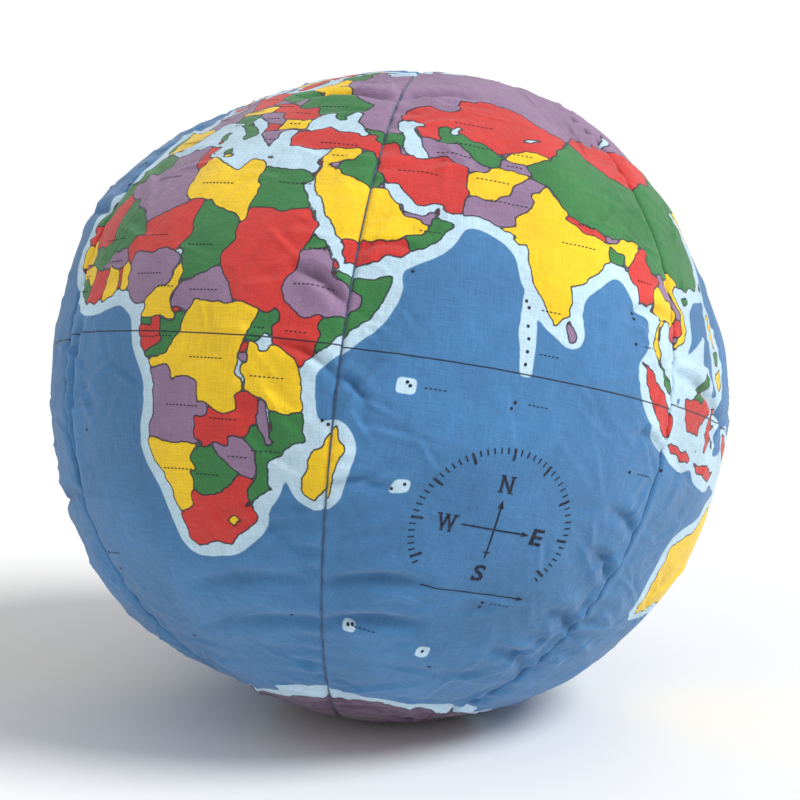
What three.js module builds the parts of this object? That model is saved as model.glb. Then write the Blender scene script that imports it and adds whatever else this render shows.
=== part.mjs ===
// A soft stuffed globe: six printed cotton gores, sewn edge to edge round a ball of fibre fill.
//
// Millimetres, +Z up. The ball has come to rest leaning, so its polar axis isn't upright. It
// stands on the patch that its own weight flattens, at z = 0, and the origin is under its centre.
// Every point is given as on a globe, by longitude, latitude and depth below the cloth's outer
// face, and restingPoint() puts it on the resting ball.

import * as THREE from 'three';

// The ball
const BALL_RADIUS = 152.5; // 12 inch globe, at the crown of a gore
const HEIGHT_RATIO = 0.985; // it sags a little under its own weight
const CONTACT_SINK = 5; // how far the floor presses the underside in
const LEAN = 18.5; // degrees from upright to the polar axis
const LEAN_TOWARDS = 64.5; // degrees from +X, the side that the north pole leans to
const SPIN = 152; // degrees that the globe is turned about its own axis

// The gores
const GORES = 6;
const GORE_WIDTH = 360 / GORES;
const FIRST_SEAM = -15; // degrees of longitude
const SEAM_DIP = 2; // the cloth is drawn in along each seam
const CLOTH = 1.2; // the cotton with its backing
const SEAM_ALLOWANCE = 6; // the edge that is turned in behind each seam
const SEAM_GAP = 1.1; // between two gores, where the thread lies
const FILL_CLEARANCE = 1; // between the cloth's inner face and the fill
const POINT_LATITUDE = 89.2; // where a gore's point ends
const FILL_END_LATITUDE = 88;

// Seam allowances are trimmed towards the poles, where the six points crowd together.
const TRIMMED_ALLOWANCE = CLOTH + 0.4;
const TRIM_STARTS = 70; // degrees of latitude
const TRIM_ENDS = 84;

// The threads
const SEAM_THREAD_RADIUS = 0.25;
const SEAM_THREAD_DEPTH = 0.6;
const SEAM_THREAD_END = 88; // degrees of latitude
const HAND_THREAD_RADIUS = 0.3;
const HAND_THREAD_HEIGHT = 0.65; // its middle, above the cloth
const STITCH_REACH = 1.6; // either side of the seam
const STITCH_LENGTH = 6;

// The gap that the ball is turned and stuffed through, closed by hand afterwards
const OPENING_SEAM = -135; // degrees of longitude
const OPENING_SOUTH = -42; // degrees of latitude
const OPENING_NORTH = -18;

// Facets
const POINTS_ACROSS = 9; // across one face of a gore
const BANDS = 22; // from pole to pole
const THREAD_SIDES = 6;
const STEPS_PER_STITCH = 8;

const COLOURS = {
  cloth: 0x4f8cc0,
  seamThread: 0x6d8ba6,
  handThread: 0x3f6f9f,
  fill: 0xf3f1ea,
};

const turnedBy = (axis, degrees) =>
  new THREE.Quaternion().setFromAxisAngle(axis, THREE.MathUtils.degToRad(degrees));
const UP = new THREE.Vector3(0, 0, 1);
const ACROSS = new THREE.Vector3(0, 1, 0);
const REST_TURN = turnedBy(UP, LEAN_TOWARDS)
  .multiply(turnedBy(ACROSS, LEAN))
  .multiply(turnedBy(UP, SPIN));

const cosine = (degrees) => Math.cos(THREE.MathUtils.degToRad(degrees));

/** How far a longitude is from the middle of its gore: 0 at the crown, 1 at a seam. */
function nearnessToSeam(longitude) {
  const along = THREE.MathUtils.euclideanModulo(longitude - FIRST_SEAM, GORE_WIDTH);
  return Math.abs((2 * along) / GORE_WIDTH - 1);
}

/** Where a point of the globe is on the resting ball. */
function restingPoint({ longitude, latitude, depth }) {
  const dip = SEAM_DIP * nearnessToSeam(longitude) ** 4 * cosine(latitude);
  const fromAxis = THREE.MathUtils.degToRad(90 - latitude);
  const round = THREE.MathUtils.degToRad(longitude);
  const place = new THREE.Vector3();
  place.set(
    Math.sin(fromAxis) * Math.cos(round),
    Math.sin(fromAxis) * Math.sin(round),
    Math.cos(fromAxis),
  );
  place.multiplyScalar(BALL_RADIUS - dip - depth).applyQuaternion(REST_TURN);
  place.z = place.z * HEIGHT_RATIO + BALL_RADIUS * HEIGHT_RATIO - CONTACT_SINK;
  place.z = Math.max(place.z, depth, 0);
  return place;
}

/** Millimetres along a parallel, as degrees of longitude. */
const asLongitude = (length, latitude) =>
  THREE.MathUtils.radToDeg(length / (BALL_RADIUS * cosine(latitude)));

/** Evenly spaced latitudes from one to another. */
function latitudesBetween(south, north) {
  const bands = Math.max(2, Math.round((BANDS * (north - south)) / 180));
  return Array.from({ length: bands + 1 }, (_, i) => south + ((north - south) * i) / bands);
}

/** Triangles that fill a ring, wound the way that the ring runs. */
function ringTriangles(outline) {
  const wound = Math.sign(THREE.ShapeUtils.area(outline));
  return THREE.ShapeUtils.triangulateShape(outline, []).map(([a, b, c]) => {
    const same = Math.sign(THREE.ShapeUtils.area([outline[a], outline[b], outline[c]])) === wound;
    return same ? [a, b, c] : [a, c, b];
  });
}

/** A closed body through rings of globe points, each ring further north than the one before. */
function loft(rings, flatten) {
  const count = rings[0].length;
  const last = (rings.length - 1) * count;
  const positions = rings.flat().flatMap((point) => restingPoint(point).toArray());
  const triangles = [];
  for (let band = 0; band < rings.length - 1; band += 1) {
    for (let i = 0; i < count; i += 1) {
      const [a, b] = [band * count + i, band * count + ((i + 1) % count)];
      triangles.push([a, b, b + count], [a, b + count, a + count]);
    }
  }
  ringTriangles(rings[0].map(flatten)).forEach(([a, b, c]) => triangles.push([a, c, b]));
  ringTriangles(rings.at(-1).map(flatten)).forEach(([a, b, c]) =>
    triangles.push([last + a, last + b, last + c]),
  );
  const geometry = new THREE.BufferGeometry();
  geometry.setAttribute('position', new THREE.Float32BufferAttribute(positions, 3));
  geometry.setIndex(triangles.flat());
  geometry.computeVertexNormals();
  return geometry;
}

/** A small section at one latitude, laid flat: longitude against height. */
const sectionOnMeridian = ({ longitude, latitude, depth }) =>
  new THREE.Vector2(THREE.MathUtils.degToRad(longitude) * BALL_RADIUS * cosine(latitude), -depth);

/** A ring right round the ball, seen along the polar axis. */
const sectionAcrossAxis = ({ longitude, latitude, depth }) =>
  new THREE.Vector2(1, 0)
    .multiplyScalar((BALL_RADIUS - depth) * cosine(latitude))
    .rotateAround(new THREE.Vector2(), THREE.MathUtils.degToRad(longitude));

/** How deep the turned-in edge reaches at a latitude. */
const allowanceAt = (latitude) =>
  THREE.MathUtils.lerp(
    SEAM_ALLOWANCE,
    TRIMMED_ALLOWANCE,
    THREE.MathUtils.smoothstep(Math.abs(latitude), TRIM_STARTS, TRIM_ENDS),
  );

/** Half a gore's width in degrees of longitude, to its folded edge and to the fold's back. */
function halfWidths(latitude) {
  const edge = GORE_WIDTH / 2 - asLongitude(SEAM_GAP / 2, latitude);
  return { edge, back: Math.max(edge - asLongitude(CLOTH, latitude), edge / 2) };
}

/** Points from one side of a gore to the other, at one latitude and depth. */
const pointsAcross = (middle, half, latitude, depth) =>
  Array.from({ length: POINTS_ACROSS }, (_, i) => ({
    longitude: middle + half * ((2 * i) / (POINTS_ACROSS - 1) - 1),
    latitude,
    depth,
  }));

/** A gore: a curved leaf of cloth from pole to pole, with both long edges turned in. */
function gore(middle) {
  const rings = latitudesBetween(-POINT_LATITUDE, POINT_LATITUDE).map((latitude) => {
    const { edge, back } = halfWidths(latitude);
    const depth = allowanceAt(latitude);
    return [
      ...pointsAcross(middle, edge, latitude, 0),
      { longitude: middle + edge, latitude, depth },
      { longitude: middle + back, latitude, depth },
      ...pointsAcross(middle, back, latitude, CLOTH).reverse(),
      { longitude: middle - back, latitude, depth },
      { longitude: middle - edge, latitude, depth },
    ];
  });
  return loft(rings, sectionOnMeridian);
}

/** The fill: a ball inside the cloth, with a groove round each pair of turned-in edges. */
function fill() {
  const latitudes = latitudesBetween(-POINT_LATITUDE, POINT_LATITUDE).map((latitude) =>
    THREE.MathUtils.clamp(latitude, -FILL_END_LATITUDE, FILL_END_LATITUDE),
  );
  const rings = latitudes.map((latitude) => {
    const side = halfWidths(latitude).back - asLongitude(FILL_CLEARANCE, latitude);
    const groove = allowanceAt(latitude) + FILL_CLEARANCE;
    return Array.from({ length: GORES }, (_, i) => {
      const middle = FIRST_SEAM + GORE_WIDTH * (i + 0.5);
      return [
        { longitude: middle - side, latitude, depth: groove },
        ...pointsAcross(middle, side, latitude, CLOTH + FILL_CLEARANCE),
        { longitude: middle + side, latitude, depth: groove },
      ];
    }).flat();
  });
  return loft(rings, sectionAcrossAxis);
}

/** A run of machine stitching, as the thread that lies between two gores. */
function seamThread(seam, south, north) {
  const rings = latitudesBetween(south, north).map((latitude) =>
    Array.from({ length: THREAD_SIDES }, (_, i) => {
      const angle = (2 * Math.PI * i) / THREAD_SIDES;
      return {
        longitude: seam + asLongitude(SEAM_THREAD_RADIUS * Math.sin(angle), latitude),
        latitude,
        depth: SEAM_THREAD_DEPTH - SEAM_THREAD_RADIUS * Math.cos(angle),
      };
    }),
  );
  return loft(rings, sectionOnMeridian);
}

/** The line of a hand stitch that crosses the seam from side to side. */
class WhipStitchLine extends THREE.Curve {
  constructor(seam, south, north) {
    super();
    Object.assign(this, { seam, south, north });
    const length = BALL_RADIUS * THREE.MathUtils.degToRad(north - south);
    this.stitches = Math.round(length / STITCH_LENGTH);
  }

  getPoint(t) {
    const latitude = THREE.MathUtils.lerp(this.south, this.north, t);
    const side = STITCH_REACH * Math.sin(2 * Math.PI * this.stitches * t);
    const longitude = this.seam + asLongitude(side, latitude);
    return restingPoint({ longitude, latitude, depth: -HAND_THREAD_HEIGHT });
  }
}

/** The hand-sewn thread that closes the opening. */
function closingThread() {
  const line = new WhipStitchLine(OPENING_SEAM, OPENING_SOUTH, OPENING_NORTH);
  const section = new THREE.Shape(
    Array.from({ length: THREAD_SIDES }, (_, i) =>
      new THREE.Vector2(HAND_THREAD_RADIUS, 0).rotateAround(
        new THREE.Vector2(),
        (2 * Math.PI * i) / THREAD_SIDES,
      ),
    ),
  );
  return new THREE.ExtrudeGeometry(section, {
    steps: line.stitches * STEPS_PER_STITCH,
    extrudePath: line,
    bevelEnabled: false,
  });
}

/** A sub-part, as a named mesh with a material of its own. */
function piece(name, geometry, color, roughness) {
  const material = new THREE.MeshStandardMaterial({ color, roughness, metalness: 0 });
  const mesh = new THREE.Mesh(geometry, material);
  mesh.name = name;
  return mesh;
}

const GORE_NAMES = ['africa', 'india', 'australia', 'pacific', 'north_america', 'south_america'];

const cover = new THREE.Group();
GORE_NAMES.forEach((place, i) => {
  const middle = FIRST_SEAM + GORE_WIDTH * (i + 0.5);
  cover.add(piece(`panel_${place}`, gore(middle), COLOURS.cloth, 0.9));
});

// Each seam's thread is named after its longitude. The seam with the opening has two runs.
const THREAD_RUNS = [
  ['seam_thread_15w', -15, -SEAM_THREAD_END, SEAM_THREAD_END],
  ['seam_thread_45e', 45, -SEAM_THREAD_END, SEAM_THREAD_END],
  ['seam_thread_105e', 105, -SEAM_THREAD_END, SEAM_THREAD_END],
  ['seam_thread_165e', 165, -SEAM_THREAD_END, SEAM_THREAD_END],
  ['seam_thread_135w_south', OPENING_SEAM, -SEAM_THREAD_END, OPENING_SOUTH],
  ['seam_thread_135w_north', OPENING_SEAM, OPENING_NORTH, SEAM_THREAD_END],
  ['seam_thread_75w', -75, -SEAM_THREAD_END, SEAM_THREAD_END],
];

const sewing = new THREE.Group();
THREAD_RUNS.forEach(([name, seam, south, north]) => {
  sewing.add(piece(name, seamThread(seam, south, north), COLOURS.seamThread, 0.7));
});
sewing.add(piece('closing_thread', closingThread(), COLOURS.handThread, 0.7));

const globe = new THREE.Group();
globe.add(piece('fibre_fill', fill(), COLOURS.fill, 1));
globe.add(cover, sewing);

export default globe;
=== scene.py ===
"""A soft stuffed globe, in cotton panels printed with a map of the world.

The cloth, its print, the stitching and the fill are made here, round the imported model. Lengths
on the cloth are in millimetres and angles in degrees. The scene itself is in metres.
"""

import math

import bmesh
import bpy
import numpy as np
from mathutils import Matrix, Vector


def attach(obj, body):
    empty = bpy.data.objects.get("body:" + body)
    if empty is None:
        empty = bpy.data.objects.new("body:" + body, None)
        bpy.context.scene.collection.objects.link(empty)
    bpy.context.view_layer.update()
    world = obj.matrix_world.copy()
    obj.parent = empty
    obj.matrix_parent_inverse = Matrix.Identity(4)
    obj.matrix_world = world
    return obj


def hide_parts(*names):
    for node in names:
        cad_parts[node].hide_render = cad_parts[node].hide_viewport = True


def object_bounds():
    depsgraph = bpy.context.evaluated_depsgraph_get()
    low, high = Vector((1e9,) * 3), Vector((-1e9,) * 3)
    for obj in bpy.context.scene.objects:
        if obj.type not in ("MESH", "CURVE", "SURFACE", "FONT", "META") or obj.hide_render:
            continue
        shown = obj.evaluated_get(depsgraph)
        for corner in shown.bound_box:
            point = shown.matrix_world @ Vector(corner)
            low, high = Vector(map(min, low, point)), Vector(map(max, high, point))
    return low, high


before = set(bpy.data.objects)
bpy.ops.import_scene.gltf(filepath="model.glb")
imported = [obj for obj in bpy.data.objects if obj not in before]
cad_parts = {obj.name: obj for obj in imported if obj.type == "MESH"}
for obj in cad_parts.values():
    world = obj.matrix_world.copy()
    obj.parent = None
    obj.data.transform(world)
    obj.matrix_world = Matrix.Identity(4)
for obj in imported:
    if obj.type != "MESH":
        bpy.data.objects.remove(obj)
cad_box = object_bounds()
MM = 0.001

# ---------------------------------------------------------------------------------------------
# The ball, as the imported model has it
# ---------------------------------------------------------------------------------------------
BALL_RADIUS = (cad_box[1].x - cad_box[0].x) / 2 / MM
HEIGHT_RATIO = 0.985
CONTACT_SINK = 5.0
CENTRE_HEIGHT = BALL_RADIUS * HEIGHT_RATIO - CONTACT_SINK
LEAN, LEAN_TOWARDS, SPIN = 18.5, 64.5, 152.0
SEAM_DIP = 2.0
HALF_GORE = 30.0
FIRST_SEAM = -15.0
MM_PER_DEGREE = BALL_RADIUS * math.pi / 180
POINT_LATITUDE = 89.8
PANELS = {  # the middle longitude of each
    "panel_africa": 15,
    "panel_india": 75,
    "panel_australia": 135,
    "panel_pacific": 195,
    "panel_north_america": 255,
    "panel_south_america": 315,
}
THREADS = {  # longitude, and the latitudes that the run of stitches is between
    "seam_thread_15w": (-15, -88, 88),
    "seam_thread_45e": (45, -88, 88),
    "seam_thread_105e": (105, -88, 88),
    "seam_thread_165e": (165, -88, 88),
    "seam_thread_135w_south": (225, -88, -42),
    "seam_thread_135w_north": (225, -18, 88),
    "seam_thread_75w": (285, -88, 88),
}
OPENING = (225, -42, -18)

# How the filled ball is uneven: bearing and elevation from its centre, spread, height in mm
LUMPS = [
    (173, 32, 14, 6.5), (63, 79, 12, -3.0), (154, 68, 14, -5.0), (15, 56, 14, 2.5),
    (180, 0, 20, 2.5), (187, -34, 18, 3.0), (200, -63, 12, -5.0), (-10, -44, 18, 3.5),
    (-4, -20, 16, 2.0), (85, 20, 18, 2.5), (115, -22, 16, -2.5), (60, -42, 15, 3.0),
    (-90, 35, 15, 1.5), (-75, -25, 17, 1.5), (-110, -5, 13, -1.2), (-60, 8, 11, -1.0),
]

# Folds in the cloth that run out from a seam: the seam's longitude, the latitude that it starts at,
# how far it runs east and north in degrees, its half width and its depth in mm. Those on the seen
# side are where the photograph has them, to a degree.
FOLDS = [
    (45, 6, -9, 5, 2.2, 2.2), (45, -5, -10, 4, 2.0, 1.3), (45, -5, 5, -4, 1.8, 1.3),
    (45, 50, -25, 0, 2.6, 2.0), (45, 51, 19, 3, 2.4, 1.6), (45, -39, -30, -3, 3.2, 1.2),
    (45, -39, 20, 3, 2.8, 1.5), (45, -47, -32, -4, 3.2, 1.2), (45, -47, 21, 3, 3.0, 1.6),
    (105, -31, -8, 5, 2.6, 1.6), (105, -22, -9, 3, 2.4, 1.3), (105, -8, -8, 2, 2.2, 1.3),
    (105, -41, -11, 3, 2.8, 1.6), (105, -52, -17, 5, 2.8, 1.4), (105, 14, -13, -1, 2.2, 1.4),
    (-15, -28, 6, 30, 3.0, 1.8), (45, 15, 9, 1, 1.8, 0.9), (45, -22, 10, 1, 2.0, 0.9),
    (105, 6, 25, -6, 2.6, 1.5), (165, 21, -15, -1, 2.6, 1.6), (165, -18, 17, -1, 2.8, 1.6),
    (225, 31, -30, 2, 2.8, 1.4), (225, 12, 19, 0, 2.6, 1.5), (285, -22, -22, 0, 2.8, 1.6),
    (285, 28, 19, 0, 2.6, 1.5), (345, -27, -27, -1, 2.8, 1.6), (345, 22, -15, 0, 2.4, 1.4),
]
FOLD_BOW = 1.2  # how far the middle of a fold is to the side, in degrees

# ---------------------------------------------------------------------------------------------
# The map, as longitude,latitude. Its outlines are simple and mostly typed from general geography.
# Some places, such as Madagascar, Australia and Crete, are off as the printed map has them.
# ---------------------------------------------------------------------------------------------
# How far each panel's print is out of line with the next, east and north in degrees
PRINT_SLIP = {
    "panel_africa": (0, 0),
    "panel_india": (0, -0.3),
    "panel_australia": (0.3, 0.6),
    "panel_pacific": (-0.3, -0.4),
    "panel_north_america": (0.4, 0.5),
    "panel_south_america": (-0.3, -0.5),
}
LANDS = [
    ("red", """-17,21 -16,24 -13,28 -10,29.5 -9.5,32 -6,36 -2,35 3,37 9.5,37 11,37 10,34 13,33 15,32.5
        19,30.5 20,32.5 23,32.5 25,31.5 29,31 32,31 35,31 35,29.5 34,28 33,28.5 35.5,24 37,21
        37.5,18.5 39.5,15.5 43,12 44.5,10.5 47,11 51,12 51,10 50,8 48,4.5 46,2.5 43,-.5 41,-2
        39.5,-4.5 39,-7 40.5,-10.5 40.5,-15 37,-17.5 35,-20 35.5,-24 33,-25.5 32.5,-28.5 30,-31.5
        27,-33.5 22,-34 20,-34.8 18.5,-34 18,-32 16.5,-28.5 14.5,-22.5 12,-18 12,-15 13.5,-11
        13,-8.5 12,-5.5 9,-1 9.5,2 9.5,4 8.5,4.5 6,4.3 4.5,6.3 1,6 -2,4.8 -4,5.2 -7.5,4.4
        -11,6.8 -13,9 -15,11 -17,14.5 -16.5,19"""),
    ("purple", """35,31 35,33 36,36.5 33,36 30.5,36.5 28,36.7 26.5,39 27,40.5 29,41 26,41 23.5,40
        23,38 22.5,36.5 21,38 19.5,40 19.5,42 15,44.5 13.5,45.5 12.5,44 14,42.5 16,41.8 18.5,40
        17,39 15.8,38 14.5,40.5 12,42 10,44 7.5,43.7 4,43.5 3,42 0,39.5 -2,37 -5.5,36 -9,37
        -9.5,39 -8.8,43 -1.5,43.4 -1,46 -4.5,48 -1.5,49 2,51 4.5,52.5 8.5,54 8,57 10.5,57.5
        10,55 11,54 14,54 18.5,54.7 21,55.5 21.5,57.5 24,57 23.5,59 30,60 23,60 21.3,61.5 25,65
        22,65.7 17.5,62 17,60.5 19,59.7 16.5,57 14,55.5 12.8,56 11,59 8,58 5.3,60 5,62 12,65.5
        15,68.5 20,70 28,71 33,69.5 41,67.5 38,66.5 33,66.7 37,64 40,64.7 44,66 44,68.3 54,68.6
        60,69 68,69 67,71.5 72,73 73,68 75,72 81,73.5 87,75 104,77.7 113,74 127,73 130,71
        140,72.5 160,69.7 170,70 180,69 190,66 180,64.7 178,62.5 170,60 163,59.8 162,56 157,51
        156,56.5 163,61.5 160,61.8 155,59.3 143,59.3 136,55 141,53 140.5,48 135.5,44 132,43
        130.5,42.3 127.5,39.7 129,37 129,35 126.5,34.5 126.7,37.5 125,39.8 121.5,39 121,41 118,39
        119,37.3 122.5,37 119.5,35 122,31.5 121.7,28.5 119.5,25.5 116.5,23 113.5,22 110.5,20.4
        109.5,21.5 107,21 105.8,19 108.5,16 109.3,13 107,10.5 105,8.6 105,10 102.5,12 101,13.3
        100,13.4 99.5,11 99.5,9.3 100.5,7 103.3,4.5 104,1.3 103,1.8 101,3.5 100,6 98.3,8 98.6,12
        97.7,16.3 95.5,15.8 94.3,16 94.3,18.5 92.3,21 91.5,22.5 89,21.7 87,21.3 86.5,20 85,19.5
        82.3,16.7 80.3,15.5 80,13 79.8,10.4 78.2,8.9 77.5,8 76.3,10 74.8,13 73.5,16 72.8,19
        72.5,21.3 70.8,20.8 69,22.3 70,23 67.5,24 66.5,25.3 61.5,25 57,25.7 56.5,27 54,26.6
        51.5,28 50,30 48.5,30 48,29.3 49,27.5 50,26 51,26 51,24.7 54,24 56.3,26 56.7,24.3
        59.8,22.4 57.7,19.5 55,17.5 52,15.6 48.5,14 45,12.8 43.4,12.7 42.6,16 39,21 37,24.7
        35,28"""),
    # Madagascar is drawn about 3 degrees to the west, and Australia about 6 to the east
    ("yellow", "46,-12 47.5,-15.5 46.5,-18 45,-24 43,-25.5 41,-23.5 41.5,-20 41.5,-17 43.5,-15.5"),
    ("purple", "80,9.5 81.2,8.5 82,7 81.2,6 80.2,6 79.8,8"),
    ("red", "95.3,5.6 97.5,5.2 100,2.8 103.5,0 106,-3 105.8,-5.8 102.3,-4 99,0 97,2.5"),
    ("red", "105,-6.8 108,-6.5 112.5,-6.8 114.5,-7.8 114.5,-8.7 108,-7.8"),
    ("red", "116,-8.3 120,-8.3 123,-8.3 127,-8.4 124,-10.2 119,-9.5"),
    ("red", "109,1.8 111,1.6 113,3.2 115,5 117,7 119,5 117.5,3.5 119,1 116.5,-1.5 116,-4 112,-3.4 110,-1.5"),
    ("red", """119,-3 120,.5 121,1.3 125,1.6 123.5,.4 120.5,.5 121,-1 123,-1 121.5,-2 122.5,-4.5
        121,-2.8 120.5,-5.6 119.5,-5.5"""),
    ("red", """131,-1 134,-1 135,-3 138,-2 141,-2.6 146,-4.5 148,-6 147,-7.5 150.5,-10.5 147,-9.6
        144,-7.7 142.5,-9 138,-8 138,-5.5 133.5,-4 132,-3"""),
    ("yellow", "120.5,18.4 122.3,18.4 121.7,15.5 124,12.6 121,13.8 120,16"),
    ("green", "122,11.7 125.5,12.4 125,10 123,9.3"),
    ("yellow", "122,7 124,8.6 125.7,9.6 126.4,7 125.4,5.8 124,6.4"),
    ("green", "120,23 121.5,25.2 122,24.8 121,22"),
    ("green", "108.7,19.3 110.5,20 111,19.5 109.5,18"),
    ("green", "130,33.4 131.8,33.4 131.2,31.4 130.2,31.4"),
    ("green", "131,34.2 135.4,35.6 137.4,37.4 139.6,39.6 141,41.4 142,39.4 140.8,36 135.8,33.6"),
    ("green", "140,42 141.8,45.4 145,43.4 143.2,42.2"),
    ("purple", "142,46.4 142,50 142.6,54 144,50 143,48"),
    ("yellow", """120,-22 123,-20.7 128,-18 130,-16.3 132.5,-14 135.5,-15 137,-12 142.7,-12
        141.5,-15 145,-17.5 147,-16.5 148.5,-11 151,-15 152.5,-19 156.7,-22.5 159,-26 159,-31
        156,-37.5 152.5,-39 149.5,-39 146,-38 144,-35 143.5,-33 141.5,-35 137.5,-31.5 132,-32
        129.5,-34 124,-35 121,-34 121.7,-32 119.5,-26"""),
    ("yellow", "151,-40.8 154.4,-41 153,-43.6"),
    ("green", "172.8,-34.5 175.6,-36.8 178.4,-37.8 176.6,-40.8 175,-41.5 175,-39.8 173.8,-39.2"),
    ("green", "172.7,-40.6 174.2,-41.6 171,-44.8 169,-46.6 166.6,-45.8 170.6,-42.8"),
    ("red", "-5,50 1.2,51.2 1.6,52.8 0,54 -2,56 -2,57.6 -4,58.6 -5.6,56.6 -3.2,54 -4.8,52.4"),
    ("green", "-10,52 -6.2,52.2 -6,54.8 -8.2,55.2 -9.8,53.8"),
    ("yellow", "-24,65.4 -22,66.4 -16,66.4 -13.8,65 -18.6,63.5 -22.6,64"),
    ("yellow", "11,79.4 20,80.2 26,80 20,77.4 16,76.7"),
    ("purple", "51.6,71.6 56,74.4 60,76 68,76.9 60,74.6 57,71 54,70.8"),
    ("purple", "95,79 100,81 105,79 100,78"),
    ("purple", "137,75.6 145,76 150,75 143,73.6"),
    ("green", "8.6,37.6 8.6,41.4 10,41.4 9.8,37.6"),
    ("green", "13,35 15,36.2 16.4,34.6 14.4,33.8"),
    ("green", "23.4,33.8 25.6,33.6 24.8,33"),
    ("purple", """-73,78.2 -60,82 -34,83.5 -14,81.4 -20,76 -22,70.4 -32,68 -40,65 -43.4,60
        -50,62 -53.6,67 -54,70 -58,75.4 -68,76"""),
    ("red", """-168,65.6 -162,66.2 -166,68.4 -156.6,71.3 -141,69.7 -128,70 -115,68 -108,68
        -96,68.4 -94,72 -88,68.6 -82,69.6 -81.6,67.4 -87,64.4 -94,61 -93,58.8 -85,55.4 -82.2,55
        -82,52.8 -79,51.4 -79,54.6 -77,57.4 -77.6,62.4 -70,61 -65,59 -61,56 -56,53 -60,50.2
        -66.4,50 -70,47 -65,49 -65,47 -61,46 -66,43.6 -70,43.8 -70,41.8 -74,40.6 -76,37 -76,35
        -81,32 -80,27 -80.6,25.2 -82.6,28 -84,30 -89.4,30 -94,29.4 -97.2,27.6 -97.8,22.4 -95,18.6
        -91,18.6 -90,21 -87,21.4 -88.6,16 -84,15.8 -83.4,11 -81,8.8 -78,9.4 -76.8,8 -78,7.2
        -80,7.4 -83,8.4 -86,11 -88,13 -92,14.4 -95,16 -101,17.4 -105.6,20.4 -106,23 -109.4,26.6
        -112.8,31 -114.6,31.4 -111,26 -110,23 -112,25 -115,28.4 -117,32.4 -121,35 -124,40 -124,46
        -123,49 -128,51 -131,55 -137,58.4 -146,60.8 -152,59.2 -158,57 -164,54.8 -158,58.6 -162,60
        -165,62"""),
    ("red", "-62,66 -68,70 -78,73.6 -88,73 -80,70 -74,67 -78,64.6 -66,62"),
    ("red", "-117,70 -112,72.6 -105,72.8 -102,69.4 -110,68.6"),
    ("red", "-124,72 -122,74.4 -118,73 -123,71.2"),
    ("red", "-90,76.6 -88,80 -80,82.6 -66,83 -66,80.6 -76,78.4 -80,76.2"),
    ("red", "-94,75 -92,76.6 -80,75.6 -82,74.6"),
    ("red", "-59,47.8 -55.8,51.4 -52.8,47 -56,46.9"),
    ("green", "-84.8,22 -80,23.1 -74.4,20.2 -77.6,19.9"),
    ("yellow", "-74.2,18.4 -73,19.9 -68.6,18.6 -71.4,17.8"),
    ("green", """-77.4,8.4 -75.4,10.8 -72,12.2 -71.4,10.8 -68,11.4 -64,10.4 -61.8,10.6 -58,7
        -52,5 -50,1 -50,-1 -44,-2.6 -39,-3 -35.2,-5.6 -35,-8.4 -38.6,-13 -39,-17.6 -41,-22
        -44.8,-23.2 -48.4,-26 -48.8,-28.6 -53,-33.6 -56.6,-36 -57.6,-38 -62,-39 -65,-41
        -63.6,-42.6 -67.4,-46 -66,-48 -69,-51 -68.6,-52.6 -65.2,-54.8 -70,-55 -74.6,-52 -75.6,-47
        -73,-42 -73.4,-37 -71.4,-31 -70.2,-20 -71.4,-17.6 -76,-14 -79.6,-7.6 -81.2,-5 -80,-2.6
        -80,.8 -77.4,3.8 -78.2,7.2"""),
    ("yellow", "-61,-51.6 -57.8,-51.4 -59,-52.3"),
    ("plum", """-181,-78 -150,-77 -120,-74 -100,-73 -75,-73 -62,-65 -58,-63.4 -62,-70 -60,-75
        -40,-78 -20,-73 0,-70 15,-69.6 25,-70 37.5,-68.2 48,-69.4 58.7,-68 66,-67.2 70,-68.4
        77.6,-68.7 91,-67.4 108,-68.5 130,-67 145,-67.6 160,-70 170,-72 165,-77 181,-78 181,-90
        -181,-90"""),
]
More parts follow.
